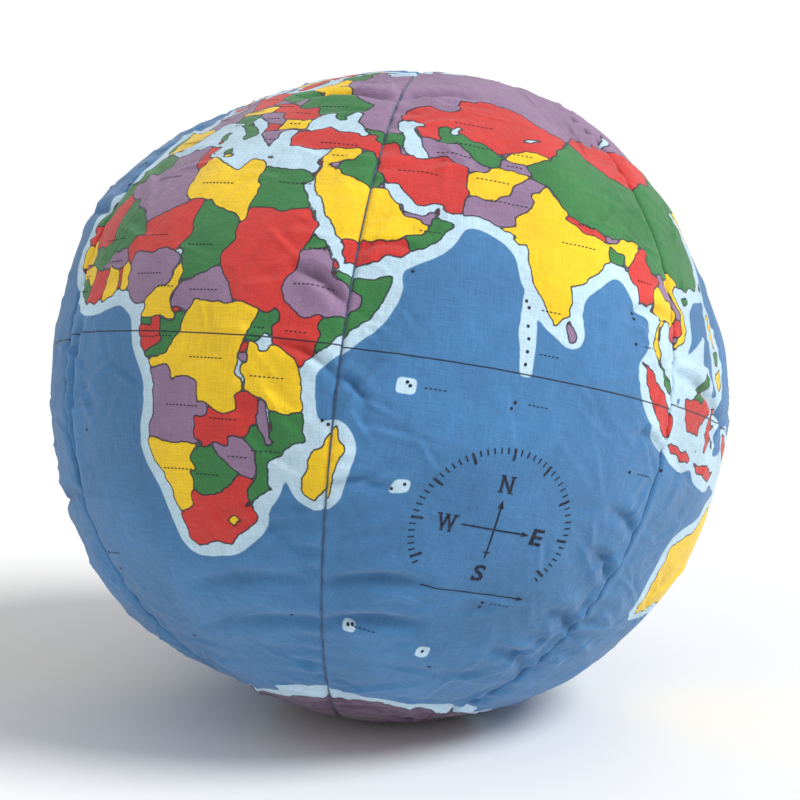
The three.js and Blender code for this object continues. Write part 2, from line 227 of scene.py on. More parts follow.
COUNTRIES = [
    # Africa, from the south
    ("green", """34.5,-11.5 41,-10.5 41,-17 36,-20 36,-25 32.5,-27 31.5,-24 32.8,-20 33,-17.5
        30.5,-15.5 33,-14 35,-15.5 35.5,-14"""),
    ("purple", """10,-5.8 16.5,-6 17,-8 19.5,-7 22,-8 22,-11 24,-11 24,-13 22,-13 22,-16.5
        23.5,-17.6 18.5,-17.4 10,-17.2"""),
    ("yellow", "10,-17.2 18.5,-17.4 23.5,-17.6 21,-18.3 21,-22 20,-22 20,-28.5 15,-29 12,-24"),
    ("green", "21,-18.3 25,-17.8 27.5,-20.5 29.3,-22 26.5,-24.5 25,-25.8 22,-26.5 20,-25 20,-22 21,-22"),
    ("yellow", "27,-29.6 28.6,-28.6 29.5,-29.6 28,-30.6"),
    ("purple", "31,-26 32,-26.8 31,-27.3"),
    ("purple", "25.3,-17.8 28.8,-16 30.5,-15.6 33,-17.5 32.5,-21 31.3,-22.3 29.3,-22 27.5,-20.5"),
    ("red", """22,-13 24,-13 24,-11 28.4,-12.5 29.5,-12 28.7,-9.5 31,-8.5 33,-9.5 33,-14 30.3,-15
        28.8,-16 25.3,-17.8 23.4,-17.6 22,-16.2"""),
    ("purple", "33,-9.5 34.4,-10 34.6,-14 35.8,-16 35,-17 34.3,-15 32.8,-13.8"),
    ("yellow", """30.5,-1 34,-1 37.7,-3 39.3,-4.7 42,-10.5 37.5,-11.6 34.5,-11.5 34,-9.7 31,-8.5
        29.5,-6.3 29.5,-4.4 30.8,-3.3"""),
    ("red", "34,-1 34,1 35,2 34,4.5 36,4.6 38,3.6 40,4 42,4 41,2.8 41,-1.5 42.5,-3 39.5,-5 37.7,-3"),
    ("green", "29.6,-1.3 30,1 31,2.3 31,3.6 34,4 35,2 34,1 34,-1 30.5,-1"),
    ("yellow", """10,-6 16.5,-6 17,-8 19.5,-7 22,-8 22,-11 24,-11 28.4,-12.5 29.5,-12 28.7,-9.5
        31,-8.5 29.4,-6 29,-3 30,1 31,2.3 31,3.6 27.5,5 24,5 19,5 18,3 17.5,-1 16,-3.5 13,-4.6"""),
    ("red", "29,-1.5 30.5,-1 30.8,-2.4 29,-2.6"),
    ("purple", "29,-2.6 30.8,-2.4 30.3,-4.3 29.3,-4.3"),
    ("green", "10,-4.5 13,-4.6 16,-3.5 17.5,-1 18.5,3.5 16,3 16,2 13,2 14.3,-1.5 12.5,-2.3 11.5,-3"),
    ("red", "8,2 13,2 14.3,-1.5 12.5,-2.3 11.2,-3.8 8,-3"),
    ("green", "8,2.3 11.3,2.3 11.3,1 8,1"),
    ("purple", "15,4 18.5,3.5 19,5 24,5 27.4,5 25,7.5 23.5,9 22.5,11 19,9 15.5,7.5"),
    ("green", "15,23 16,23.3 24,19.5 24,15.6 22,13 22.8,11 19,9 15.5,8 14,10 15,12 13.5,13.8 15.5,16.5"),
    ("yellow", "8,4.6 10.5,7 13,7.5 14.6,11.5 14.5,13 15.6,10 15.5,7.5 14.5,5.5 16,2.2 8,2.3"),
    ("purple", "2.7,4 2.8,9.5 4,13.5 8,13 13.5,13.7 14.5,12.5 13,7.5 10.5,7 8.6,3"),
    ("red", "0,15 4,16 4.3,19 12,23.5 15,23 15.5,16.5 13.5,13.8 8,13 4,13.5 2.3,12 .3,13.5"),
    ("purple", """-8.7,27.3 -8.7,29 -1.5,32.5 -2,37 3,39 8.5,38.5 7.7,33.5 9.5,30 10,26.5 12,23.5
        3,19 1,21 -5,25"""),
    ("green", "-19,21 -13,21 -12,23.5 -8.7,26 -8.7,29 -1.5,32.5 -2,37 -6,38 -12,33"),
    ("green", "-12,14.8 -5.5,15.5 -6.5,25 -5,25 3,19 4,16.5 0,15 -4,13 -5.5,10.5 -8,10.4 -11.5,12.3"),
    ("yellow", "-19,16.5 -14,16.5 -11.8,14.5 -11.5,12.4 -18,12.4"),
    ("yellow", "-16,11 -11.5,12.3 -8,11 -8,7.8 -11,8.5 -14,8.6"),
    ("green", "-14,9 -11,10 -8,7.5 -7.5,3 -13,5"),
    ("purple", "-5.4,10.5 -4,13 0,15 2.3,12 1,11 -2.8,11 -3,9.8"),
    ("yellow", "-2.9,11 0,11 1,5 -3,4"),
    ("yellow", "1,11 2.4,12.3 3.6,10 2.7,5 1.8,5"),
    ("yellow", "10,24.5 9.5,30.3 11.5,34 16,35 25,34 25,20 24,19.5 16,23.3 12,23.5"),
    ("green", "25,22 25,33 34.5,33 35,29.5 34,27.5 38,22"),
    ("purple", "36,14.3 40,14.5 42.4,12 42,11 43,9.3 47,8 45,5 42,4 40,4 38,3.6 36,4.6 34,7 34,8.5 36.3,12"),
    ("green", "36.5,15 38,19 44,12.6 42.4,12 40,14.5 36.5,14.3"),
    ("yellow", "42,11 42.4,12.5 44,11.5"),
    ("green", "43,11.5 53,13 53,9 45,-1 41,-3 41,2.8 42,4 45,5 47,8 43,9.3"),
    ("red", "8.5,38.5 7.7,33.5 9.5,30.3 11.5,33 13,38"),
    # Arabia to east Asia
    ("yellow", """34,28 35,29.4 37.5,31.7 39,32 46.5,29 49,28.5 50.5,26.5 51,24.5 52,23 55,22.5
        55,20 52,19 47,17 43.3,17.3 41,16.3 37,20"""),
    ("red", "41,16.4 43.3,17.3 47,17 52,19 53.3,16.6 52,12 42,11.5"),
    ("green", "52,19 55,20 55,22.7 56.3,24.8 61,24 60,17 53.3,16"),
    ("purple", "51.5,24.5 56,27 56,24.5 55,22.6 52.4,23"),
    ("purple", "50.5,24.6 50.5,26.5 52,26.5 51.7,24.8"),
    ("red", "34,31 35,34 36,32.5 35,29.4"),
    ("yellow", "35,29.4 35.6,32.7 39,32.2 37.5,31.6"),
    ("green", "38.8,33.4 41,34.5 42.3,37 45,37 46,35 45.6,33.5 48.4,30 47,29 44.7,29 39,32"),
    ("red", "25.5,35 25.5,42.3 41.5,42.3 44.7,39.8 44.5,37 42,37.3 36.7,36.8 36,35"),
    ("yellow", "35,35.8 36.7,36.8 42,37.3 41,34.5 36,32.5"),
    ("green", "40,43.4 47,42 50.5,41 49,38.5 44.7,39.8 41.5,41.6"),
    ("red", """44.5,39.8 48,39.5 49,37 54,37 57,38 61,36.5 61,31.5 63,27.3 61.5,24 57,24 51,27
        48.4,29.5 45.6,33.5 46,35 44.5,37"""),
    ("purple", "52,41.8 56,41.3 59,42.3 62,40 66.5,37.4 64,36 61,35.5 61,36.6 57,38 53,37"),
    ("green", "56,45 58.5,45.6 62,43.5 66,42 68,41 73,40.8 68,37 66.5,37.4 62,40 59,42.3 56,41.3"),
    ("yellow", "69.5,39.6 73.5,39.5 80,42 74,43 70,42.5"),
    ("purple", "67.6,37 68.5,40.4 73.5,39.4 75,37.3 71.5,36.8"),
    ("yellow", "61,31.5 61,35.5 64,36 66.5,37.4 71.5,37.8 74.5,37 71,34 69.5,31.5 66.3,29.8 61,29.7"),
    ("purple", """61,29.7 66.3,29.8 69.5,31.5 71,34 74.5,37 77,35.5 74,33 74.6,31 71,27.8 70,25
        68,23 66,23 61,24"""),
    ("red", """47,48 48,50 51,51.6 55,51 61,51 61,54 70,55.3 77,54 80,51 87,49 82.5,45.3 80,42
        74,43 70,42.5 68,41 66,42 62,43.5 58.5,45.6 56,45 56,41.4 52.5,42 50,45 47,46"""),
    ("red", "87.8,49 92,50.8 98,50 99,52 106,50.3 116,49.8 119.7,46.7 111.8,43.7 105,41.6 96.5,42.7 91,45"),
    ("green", """73.5,39.5 80,42 82.5,45.3 87.8,49 91,45 96.5,42.7 105,41.6 111.8,43.7 119.7,46.7
        116.7,49.8 121,53.3 126,52.8 131,47.7 135,48.4 131,45 130.6,42.4 124,40 124,30 118,20
        108,20 108,21.4 105.3,23.3 102,22.4 99,22 97.5,24.5 98.6,27.6 97,28.3 92,27.8 86,28 81,30
        78.8,32.5 77.8,35.5 74.5,37"""),
    ("yellow", """67,24 70,25 71,27.8 74.6,31 74,33 77,35.5 78.8,32.5 81,30 80,28.8 88,26.5 92,27.8
        97,28.3 96,27 94.3,24 93,22 92,23.5 92,25 90,25 88.6,26 88.5,24 89,20 86,14 79.6,10
        79,7 76,6.5 72,14 70,18 66,21"""),
    ("red", "80,28.8 81,30 86,28 88,27.8 88,26.4 84,27"),
    ("purple", "89,27 90.5,28 92,27.6 91.5,26.8"),
    ("green", "88.6,26 90,25 92,25 92,21 88.5,20 88.5,24"),
    ("red", """92,20.5 93,22 94.3,24 96,27 98.6,27.6 97.5,24.5 99,22 101,21.3 98,19 97.5,17.5
        98.5,15 98.5,10 95,9 92,15"""),
    ("yellow", """98,19.5 100,20.4 101,18 104,18 105.5,15 105,14.3 102.5,13.5 102.5,11 99.3,12 99,10
        101,7.2 102,6 99.5,6.5 97,8 98.6,15 97.5,17.5"""),
    ("purple", "100,20.4 102,22.4 104.5,20 107.5,15.5 107,14.3 105.5,14.4 105,16.5 104,18 101,18"),
    ("yellow", "102,22.4 105.3,23.3 108,21.4 111,15 110,8 104,7.5 106,11.5 107.5,12.5 107.5,15.5 104.5,20"),
    ("red", "102.5,13.5 105,14.3 107.5,14.3 107.5,12.5 106,11.5 103,10 102,11.8"),
    ("green", "99,6.6 102,6.2 105,4 105,1 101,2"),
    ("green", "109.5,1.8 113,3.2 115,5 117,8 120,5 117.6,4 115,3.8 114,1.5"),
    ("yellow", "141,-2 141,-9.2 152,-12 152,-3"),
    ("yellow", "124,40 128.5,42.3 130.6,42.4 130,34 124,34"),
    # Europe
    ("yellow", "-9.6,35 -9.6,44 -1.7,43.4 3.3,42.4 3,41 -1,36 -5,35.5"),
    ("green", "-10,42 -7,42 -7.4,36.5 -10,36"),
    ("purple", "-5,44 -1.7,43.4 3.3,42.4 7.5,43 6,46 8,49 2,52 -6,49"),
    ("green", "7.5,43.8 7,46 13.5,46.5 19,41 16.4,37 8,42"),
    ("red", "6,51 6,54.5 14,55 15,51 13,48.5 8,47.5"),
    ("yellow", "6,46.5 8,47.6 17,48.6 16,46.6 13,46.4 7,45.8"),
    ("green", "14,51 14,55 23,55 24,51 19,49.5"),
    ("red", "13,49 19,49.6 24,49 22,46 16,46.6 17,48.4"),
    ("purple", "13,46 19,46 22.5,44 20,42 17,43"),
    ("red", "18,43 22.5,43 22.5,41 19,39.6"),
    ("purple", "19,41 26,41.6 25,36 22,35 19,38"),
    ("yellow", "22.5,44 28.5,44 28,41.6 22.5,41.4"),
    ("red", "20.5,46 23,48 27,48.2 30,45.4 28.5,43.6 22.5,44"),
    ("green", "22,48.6 24,51.6 34,52.2 40,49.5 38,47 33,45 29,45.5 27,48.2"),
    ("yellow", "23.5,51.6 24,54 28,56 32,54.5 31,52"),
    ("yellow", "20,58 28,59.6 28,56 24,54 20,54.5"),
    ("yellow", "4,57 4,63 12,69 25,72 30,70 20,69 12,63 11.5,59"),
    ("red", "11.5,59 12,63 20,69 24,68 24,65 16,60 17,55 11,55.5"),
    ("green", "20.6,69 29,70 31,62.5 28,60 21,59.6 21,63 24,66"),
    # The Americas
    ("yellow", "-170,52 -141,60 -141,72 -170,72"),
    ("yellow", "-128,49 -95,49 -83,45.6 -76,44.6 -69,47 -64,42 -78,22 -97,25.6 -106,31.6 -128,32.4"),
    ("green", "-118,32.6 -106,31.6 -97,25.6 -92,24 -85,22 -91,14 -108,16 -120,30"),
    ("purple", "-91.6,17.4 -88,17 -82,16 -82,11 -91,12.6"),
    ("red", "-86.4,11.4 -82,11 -76,8.8 -78,6.4"),
    ("yellow", "-79,12 -71.4,12.4 -67.4,6.4 -67.4,2 -70,-4 -74.4,-2 -79.4,1"),
    ("purple", "-72,12.6 -59.8,9 -60.6,5 -64,3.6 -67.4,2 -67.4,6.4 -72,7.4"),
    ("red", "-61,8.8 -50,5 -52,2.6 -60,1.4 -60.6,5"),
    ("purple", "-79.4,1 -75.2,-.4 -78.6,-4.8 -82,-4"),
    ("red", "-82,-4 -78.6,-4.8 -75.2,-.4 -70,-4 -73.6,-9.4 -69,-12.6 -69.4,-17.6 -77,-17"),
    ("yellow", "-69.4,-10.6 -65,-10 -60,-16.4 -58,-20 -62.6,-22.2 -68.4,-22.4 -69.4,-17.6 -68.8,-13"),
    ("purple", "-77,-17 -69.4,-17.6 -67.4,-24 -70,-33 -71.6,-46 -68,-56 -78,-54 -75,-34"),
    ("red", "-62.6,-22.2 -58,-20 -54.4,-24 -55.4,-27.4 -58.6,-27"),
    ("yellow", """-68.4,-22.4 -62.6,-22.2 -58.6,-27 -55.4,-27.4 -54,-26 -57.6,-30.4 -58.4,-34
        -56,-40 -63,-56 -68,-56 -71.6,-46 -70,-33 -67.4,-24"""),
    ("purple", "-57.6,-30.4 -53.4,-32.6 -54,-36 -58.6,-34.4"),
]
INLAND_WATERS = [
    "13,13 14.5,14.2 15.3,13",
    "31.8,-.5 33,.5 34.2,-.4 33.8,-2 32.2,-2.6",
    "29.2,-3.4 29.8,-5.5 31,-8.4 30.5,-8.6 29,-6",
    "34,-9.6 34.8,-12 35,-14 34.3,-12",
    "28,41.3 28.5,43.5 30.5,46 33,46 33,45 37,47 39,47 38,45 41.5,42 41,41 36,41.5 33,42 30,41",
    "49.5,37.5 49,41 47.7,43 47,45 49.5,46.6 52.5,46.7"
    " 53,45 51,44.5 50.5,43 52.8,41.5 53,39.5 54,37 51.5,36.6",
    "58.3,44 60,46.3 61.5,45.7 60,43.7",
    "73.5,45.5 75,46.6 79,46.7 76,45.3",
    "103.6,51.6 109.8,55.6 108,52",
    "-92,46.8 -88,48.8 -84.6,46.6 -88,46.4",
    "-87.6,42 -85,46 -86.2,41.8",
    "-83.6,43.4 -84,45.8 -80.4,45.4 -81.6,43.2",
    "-82.6,41.8 -76.4,43.6 -80,42.6",
]
CRIMEA = ("green", "32.7,45.6 35,46 36,45 33.8,44.5")
SHALLOWS = [  # drawn pale, where the sea isn't deep
    "54,-6 54,-3.5 57,-3.5 57,-6", "56,-19 58.5,-19 58.5,-21 55,-21.5",
    "50,-45.5 53,-45.5 53,-47.3 50,-47.3", "68,-48.3 71.5,-48.3 71.5,-50.3 68,-50.3",
    "72,13 71.5,6 72.5,-.5 74.5,-.5 74.5,7 74,13", "24,-65 60,-65.5 113,-65 113,-71 24,-71",
    "-6,35 0,37 5,42 10,43 17,40 24,38 28,36 36,37 36,31 20,31 11,34 0,36",
    "33,29 35.5,29 40,21 44,13 42,12.5 38,18 35,24", "48,30.5 52,29 58,27.5 58,25 51,24 48,28",
    "12,54 20,60 22,66 26,66 22,60.4 29,60.6 28,58.6 16,53.6",
    "100,8 104,0 109,2 115,7 117,14 110,9 104,7", "118,-10 140,-11 134,-4 124,-6 118,-6",
    "120,24 121,38 125,39 127,34 126,30 123,24",
    "-98,18 -96,30 -83,30 -82,24 -88,22 -92,18",
    "-95,52 -95,64 -76,64 -76,52",
]
ISLANDS = """43.5,-12 44.5,-12.5 55.5,-4.5 56,-5 57.5,-20 55.5,-21 51,-46.5 52,-46.3 69.5,-49.5 77.5,-38
    77.5,-39 73.5,-53 38,-46.6 54,12.5 72.5,11 73,10 73,7 73.2,5 73.2,3 73.2,1 72,-6 72.5,-5 93,12
    93,13 93.5,8 -5.5,-16 -14,-8 -12,-37 -10,-40 3,-54 97,-12 105.5,-10.5 178,-18 179,-17 187,-14
    189,-21 205,20 203,21 201,22 210,-17 212,-16 221,-9 229,-24 250,-27 269,-1 158,7 163,5 151,7
    145,14 168,-15 167,-17 166,-22 160,-9 299,15 299,13 298,17 293,18 283,25 336,16 332,38 334,38
    343,33 344,28 304,-54 323,-54 326,-4"""

# Plain rows of dashes stand where the names would be, and no name is drawn
DASH = 1.1
DASH_WIDTH = 0.45
DASH_PITCH = 1.9
MOST_DASHES = 9
DASH_CLEARANCE = 2  # from a row to the seam, in mm
ISLAND_DASHES = 5
ISLAND_DASHES_EAST = 4  # degrees from the dot
ISLANDS_NAMED = 3  # one in so many has dashes

COAST_WANDER = ((6, 0.75), (2.4, 0.62))  # the grain and reach of the wandering of coasts, in mm
EQUATOR_LATITUDE = -0.2  # of the equator's line
# How far the printed map sits low, in degrees, where it does most
LATITUDE_DROP = 3.0
DROP_FROM, DROP_TO = 8, 78  # degrees north

# The compass, with plain ticks round it and an arrow under it
CAP_HEIGHT = 0.73  # of the built-in letters, at a size of one
COMPASS = (74, -25)
COMPASS_RING = 35.0
NORTH_ARROW_TAIL, NORTH_ARROW_LENGTH = 13, 26
EAST_ARROW_TAIL, EAST_ARROW_LENGTH = 14, 30
ARROW_WIDTH, ARROW_HEAD = 0.7, 3.6
FOOT_RADIUS, FOOT_TURN, FOOT_LENGTH = 10.5, 0.12, 2.6  # the short bar across the north arrow's tail
TICKS = range(-7, 44)  # the ring is open at the bottom
TICK_STEP = 5
LONG_TICK_EVERY = 6
LONG_TICK, SHORT_TICK = (5.0, 1.1), (2.6, 0.6)  # length and width
LETTER_RADIUS = 20.0
LETTER_CAP = 7.5
COMPASS_LETTERS = [  # bearing, width in mm
    ("E", 0, 5.4),
    ("N", 90, 6.6),
    ("W", 180, 8.8),
    ("S", 270, 5.2),
]
ROTATION_ARROW = (64, 86, -36.4)  # its two ends and its latitude
ROTATION_ARROW_WIDTH, ROTATION_ARROW_HEAD = 0.5, 3.4

# ---------------------------------------------------------------------------------------------
# Numbers on the cloth
# ---------------------------------------------------------------------------------------------
NOISE_TILE = 256


def spline_weights(t):
    """How much each of four neighbours counts, a share t of the way between the middle two."""
    return ((1 - t) ** 3 / 6, (3 * t**3 - 6 * t**2 + 4) / 6,
            (-3 * t**3 + 3 * t**2 + 3 * t + 1) / 6, t**3 / 6)


def smooth_noise(across, along, size, seed):
    """Smooth noise about 0, for places in mm, with bumps of the size given."""
    lattice = np.random.default_rng(seed).standard_normal((NOISE_TILE, NOISE_TILE)) * 1.6
    column, row = np.floor(across / size), np.floor(along / size)
    u, v = across / size - column, along / size - row
    total = np.zeros(np.broadcast(across, along).shape)
    for i, weight_u in enumerate(spline_weights(u)):
        for j, weight_v in enumerate(spline_weights(v)):
            picked = lattice[(row + j).astype(int) % NOISE_TILE, (column + i).astype(int) % NOISE_TILE]
            total += weight_u * weight_v * picked
    return total


def turned(angle, axis):
    """The matrix of a turn about the Y or Z axis."""
    c, s = math.cos(math.radians(angle)), math.sin(math.radians(angle))
    if axis == "Y":
        return np.array([[c, 0, s], [0, 1, 0], [-s, 0, c]])
    return np.array([[c, -s, 0], [s, c, 0], [0, 0, 1]])


LAY = turned(LEAN_TOWARDS, "Z") @ turned(LEAN, "Y") @ turned(SPIN, "Z")


def outward(lon, lat):
    """Unit vectors out of the ball as it lies, from its own longitude and latitude."""
    lon, lat = np.radians(lon), np.radians(lat)
    unit = np.stack([np.cos(lat) * np.cos(lon), np.cos(lat) * np.sin(lon), np.sin(lat) + 0 * lon], -1)
    return unit @ LAY.T


def resting(lon, lat, height):
    """Places in mm on the ball as it lies, so high above its plain surface."""
    nearness = np.abs((lon - FIRST_SEAM) % (2 * HALF_GORE) - HALF_GORE) / HALF_GORE
    dip = SEAM_DIP * nearness**4 * np.cos(np.radians(lat))
    place = outward(lon, lat) * (BALL_RADIUS - dip + height)[..., None]
    place[..., 2] = place[..., 2] * HEIGHT_RATIO + CENTRE_HEIGHT
    return place


def on_floor(place, least=0.0):
    """The same places, with what would be under the floor flattened on it."""
    place[..., 2] = np.maximum(place[..., 2], least)
    return place


def lump_height(unit):
    """How uneven the filling leaves the ball, in mm."""
    height = np.zeros(unit.shape[:-1])
    for bearing, elevation, spread, rise in LUMPS:
        b, e = math.radians(bearing), math.radians(elevation)
        towards = np.array([math.cos(e) * math.cos(b), math.cos(e) * math.sin(b), math.sin(e)])
        away = np.degrees(np.arccos(np.clip(unit @ towards, -1, 1)))
        height += rise * np.exp(-((away / spread) ** 2) / 2)
    return height


def read_outline(text):
    return np.array([[float(value) for value in point.split(",")] for point in text.split()])


def as_drawn(points):
    """Where places are on the drawn map, which sits low between two latitudes."""
    share = np.clip((points[:, 1] - DROP_FROM) / (DROP_TO - DROP_FROM), 0, 1)
    drop = LATITUDE_DROP * np.sin(math.pi * share) ** 2
    return np.stack([points[:, 0], points[:, 1] - drop], axis=1)


def grid_faces(rows, columns, wrap=False):
    """Four-sided faces between the points of a grid, facing the side its columns turn left from."""
    index = np.arange(rows * columns).reshape(rows, columns)
    beside = np.roll(index, -1, axis=1) if wrap else index[:, 1:]
    here = index if wrap else index[:, :-1]
    corners = np.stack([here[:-1], beside[:-1], beside[1:], here[1:]], -1)
    return corners.reshape(-1, 4).tolist()


# ---------------------------------------------------------------------------------------------
# The print
# ---------------------------------------------------------------------------------------------
CELL = 0.5
BLEED = 84.0
INK_COLOURS = ["red", "yellow", "green", "purple", "plum"]
OUTLINE_SOFTNESS = 0.52
SHELF_WIDTH_SPREAD = 4.2
SHELF_LEVEL = 0.085


def soften(values, spread):
    """A Gaussian blur; spread is in cells."""
    reach = int(3 * spread) + 1
    kernel = np.exp(-((np.arange(-reach, reach + 1) / spread) ** 2) / 2)
    kernel /= kernel.sum()
    for axis in (0, 1):
        padding = [(reach, reach) if axis == a else (0, 0) for a in (0, 1)]
        wide = np.pad(values, padding, mode="edge")
        length = values.shape[axis]
        values = sum(w * np.take(wide, range(k, k + length), axis) for k, w in enumerate(kernel))
    return values


def edge_distance(mask, spread):
    """About how far inside a printed shape each cell is, in mm, up to a few times the spread."""
    share = np.clip(soften(mask.astype(np.float32), spread / CELL), 0.002, 0.998)
    return spread / 1.702 * np.log(share / (1 - share))


def inside(points, lon, lat):
    """Which cells are inside a closed outline. The rows of cells go up evenly in latitude."""
    mask = np.zeros(lon.shape, bool)
    for (x0, y0), (x1, y1) in zip(points, np.roll(points, -1, axis=0)):
        if y0 == y1:
            continue
        first, last = np.searchsorted(lat, sorted((y0, y1)))
        crossing = x0 + (lat[first:last] - y0) * (x1 - x0) / (y1 - y0)
        mask[first:last] ^= lon[first:last] > crossing[:, None]
    return mask


class Print:
    """What is printed on one panel, as fields over the flat panel."""

    def __init__(self, panel):
        self.middle = PANELS[panel]
        slip_east, slip_north = PRINT_SLIP[panel]
        self.east = np.arange(-BLEED, BLEED + CELL, CELL)
        self.north = np.arange(-90 * MM_PER_DEGREE, 90 * MM_PER_DEGREE, CELL)
        self.lat = self.north / MM_PER_DEGREE - slip_north
        narrowing = np.maximum(np.cos(np.radians(self.lat)), 0.02)
        self.lon = self.middle - slip_east + self.east[None, :] / MM_PER_DEGREE / narrowing[:, None]
        self.fields = self.draw()

    def shape(self, text):
        """Which cells an outline holds, on whichever turn of the globe it is given."""
        points = as_drawn(read_outline(text))
        mask = np.zeros(self.lon.shape, bool)
        for turn in (-360, 0, 360):
            moved = points + [turn, 0]
            if moved[:, 0].max() > self.middle - 45 and moved[:, 0].min() < self.middle + 45:
                mask |= inside(moved, self.lon, self.lat)
        return mask

    def wander(self, cells):
        """The same cells, with their edges made to wander as a drawn coast does."""
        x, y = np.meshgrid(self.east, self.north)
        (coarse, far), (fine, near) = COAST_WANDER
        shift_x = smooth_noise(x, y, coarse, 11) * far + smooth_noise(x, y, fine, 12) * near
        shift_y = smooth_noise(x, y, coarse, 13) * far + smooth_noise(x, y, fine, 14) * near
        rows = np.clip(np.arange(len(self.north))[:, None] + np.rint(shift_y / CELL), 0, len(self.north) - 1)
        columns = np.clip(np.arange(len(self.east)) + np.rint(shift_x / CELL), 0, len(self.east) - 1)
        return cells[rows.astype(int), columns.astype(int)]

    def draw(self):
        colour = np.zeros(self.lon.shape, np.int8)
        for name, text in LANDS:
            colour[self.shape(text)] = INK_COLOURS.index(name) + 1
        land = colour > 0
        for name, text in COUNTRIES:
            colour[self.shape(text) & land & (colour != len(INK_COLOURS))] = INK_COLOURS.index(name) + 1
        shallow = np.zeros(land.shape, bool)
        for text in SHALLOWS:
            shallow |= self.shape(text)
        for text in INLAND_WATERS:
            lake = self.shape(text)
            colour[lake] = 0
            shallow |= lake
        colour[self.shape(CRIMEA[1])] = INK_COLOURS.index(CRIMEA[0]) + 1
        colour = self.wander(colour)
        near_land = soften((colour > 0).astype(np.float32), SHELF_WIDTH_SPREAD / CELL)
        pale = (near_land > SHELF_LEVEL) | shallow
        fields = {"shelf": edge_distance(pale, 0.9)}
        for index, name in enumerate(INK_COLOURS):
            fields[name] = edge_distance(colour == index + 1, OUTLINE_SOFTNESS)
        return fields

    def at(self, name, east, north):
        """A field at places on the flat panel, in mm."""
        values = self.fields[name]
        x = np.clip((east - self.east[0]) / CELL, 0, values.shape[1] - 1.001)
        y = np.clip((north - self.north[0]) / CELL, 0, values.shape[0] - 1.001)
        i, j = x.astype(int), y.astype(int)
        u, v = x - i, y - j
        low = values[j, i] * (1 - u) + values[j, i + 1] * u
        high = values[j + 1, i] * (1 - u) + values[j + 1, i + 1] * u
        return low * (1 - v) + high * v


# ---------------------------------------------------------------------------------------------
# How slack cloth settles between its seams
# ---------------------------------------------------------------------------------------------
SLACK_ROWS, SLACK_COLUMNS = 100, 198
SLACK_POLE = 84.0  # the latitude that it reaches
SLACK = 1.03  # how much larger it was cut
SETTLING_FRAMES = 22
FIRST_RIPPLE, RIPPLE_GRAIN = 0.4, 8  # what the cloth starts with, in mm
BULGE_SPREAD = 7.0  # rows and columns that a bulge is averaged over
SLACK_CAP = 3.4  # the most it may stand up, in mm
BULGE_KEPT = 0.35  # the share of each panel's broad bulge that is kept


def settle_slack():
    """Heights in mm that slack cloth takes up on the ball when only its seams are held."""
    lat = np.linspace(-SLACK_POLE, SLACK_POLE, SLACK_ROWS)
    lon = np.arange(SLACK_COLUMNS) / SLACK_COLUMNS * 360 + FIRST_SEAM
    lon, lat = np.meshgrid(lon, lat)
    unit = outward(lon, lat)
    start = resting(lon, lat, lon * 0)
    ripple = smooth_noise(lon * 2.6, lat * 2.6, RIPPLE_GRAIN, 5)
    start += unit * (FIRST_RIPPLE * ripple)[..., None]
    mesh = bpy.data.meshes.new("slack")
    faces = grid_faces(SLACK_ROWS, SLACK_COLUMNS, wrap=True)
    mesh.from_pydata(start.reshape(-1, 3) * MM, [], faces)
    cloth = bpy.data.objects.new("slack", mesh)
    bpy.context.collection.objects.link(cloth)
    cloth.shape_key_add(name="as sewn")
    loose = cloth.shape_key_add(name="as cut")
    centre = np.array([0, 0, CENTRE_HEIGHT])
    roomy = (centre + (start - centre) * SLACK).reshape(-1) * MM
    loose.data.foreach_set("co", roomy.astype(np.float32))
    held = cloth.vertex_groups.new(name="held")
    per_gore = SLACK_COLUMNS // len(PANELS)
    column = np.arange(SLACK_ROWS * SLACK_COLUMNS) % SLACK_COLUMNS
    row = np.arange(SLACK_ROWS * SLACK_COLUMNS) // SLACK_COLUMNS
    pinned = (column % per_gore == 0) | (row == 0) | (row == SLACK_ROWS - 1)
    held.add(np.flatnonzero(pinned).tolist(), 1.0, "REPLACE")
    modifier = cloth.modifiers.new("cloth", "CLOTH")
    settings = modifier.settings
    settings.quality = 6
    settings.mass = 0.2
    settings.tension_stiffness = 20
    settings.compression_stiffness = 20
    settings.shear_stiffness = 6
    settings.bending_stiffness = 0.12
    settings.air_damping = 2
    settings.vertex_group_mass = "held"
    settings.rest_shape_key = loose
    settings.use_pressure = True
    settings.uniform_pressure_force = 1.5
    settings.effector_weights.gravity = 0
    modifier.collision_settings.use_collision = False
    modifier.point_cache.frame_start = 1
    modifier.point_cache.frame_end = SETTLING_FRAMES
    scene = bpy.context.scene
    for step in range(1, SETTLING_FRAMES + 1):
        scene.frame_set(step)
    settled = cloth.evaluated_get(bpy.context.evaluated_depsgraph_get()).data
    places = np.empty(len(settled.vertices) * 3, np.float32)
    settled.vertices.foreach_get("co", places)
    places = places.reshape(start.shape) / MM
    height = ((places - start) * unit).sum(-1)
    bpy.data.objects.remove(cloth)
    bpy.data.meshes.remove(mesh)
    scene.frame_set(1)
    wide = np.concatenate([height, height, height], 1)
    bulge = soften(wide, BULGE_SPREAD)[:, SLACK_COLUMNS : 2 * SLACK_COLUMNS]
    height = height - bulge + BULGE_KEPT * bulge
    return SLACK_CAP * np.tanh(height / SLACK_CAP)


def slack_height(settled, lon, lat):
    """The settled heights at places on the ball."""
    x = (lon - FIRST_SEAM) / 360 * SLACK_COLUMNS
    y = (lat + SLACK_POLE) / (2 * SLACK_POLE) * (SLACK_ROWS - 1)
    column, row = np.floor(x), np.floor(y)
    height = np.zeros(lon.shape)
    for i, weight_x in enumerate(spline_weights(x - column)):
        for j, weight_y in enumerate(spline_weights(y - row)):
            at_row = np.clip(row + j - 1, 0, SLACK_ROWS - 1).astype(int)
            at_column = (column + i - 1).astype(int) % SLACK_COLUMNS
            height += weight_x * weight_y * settled[at_row, at_column]
    return height


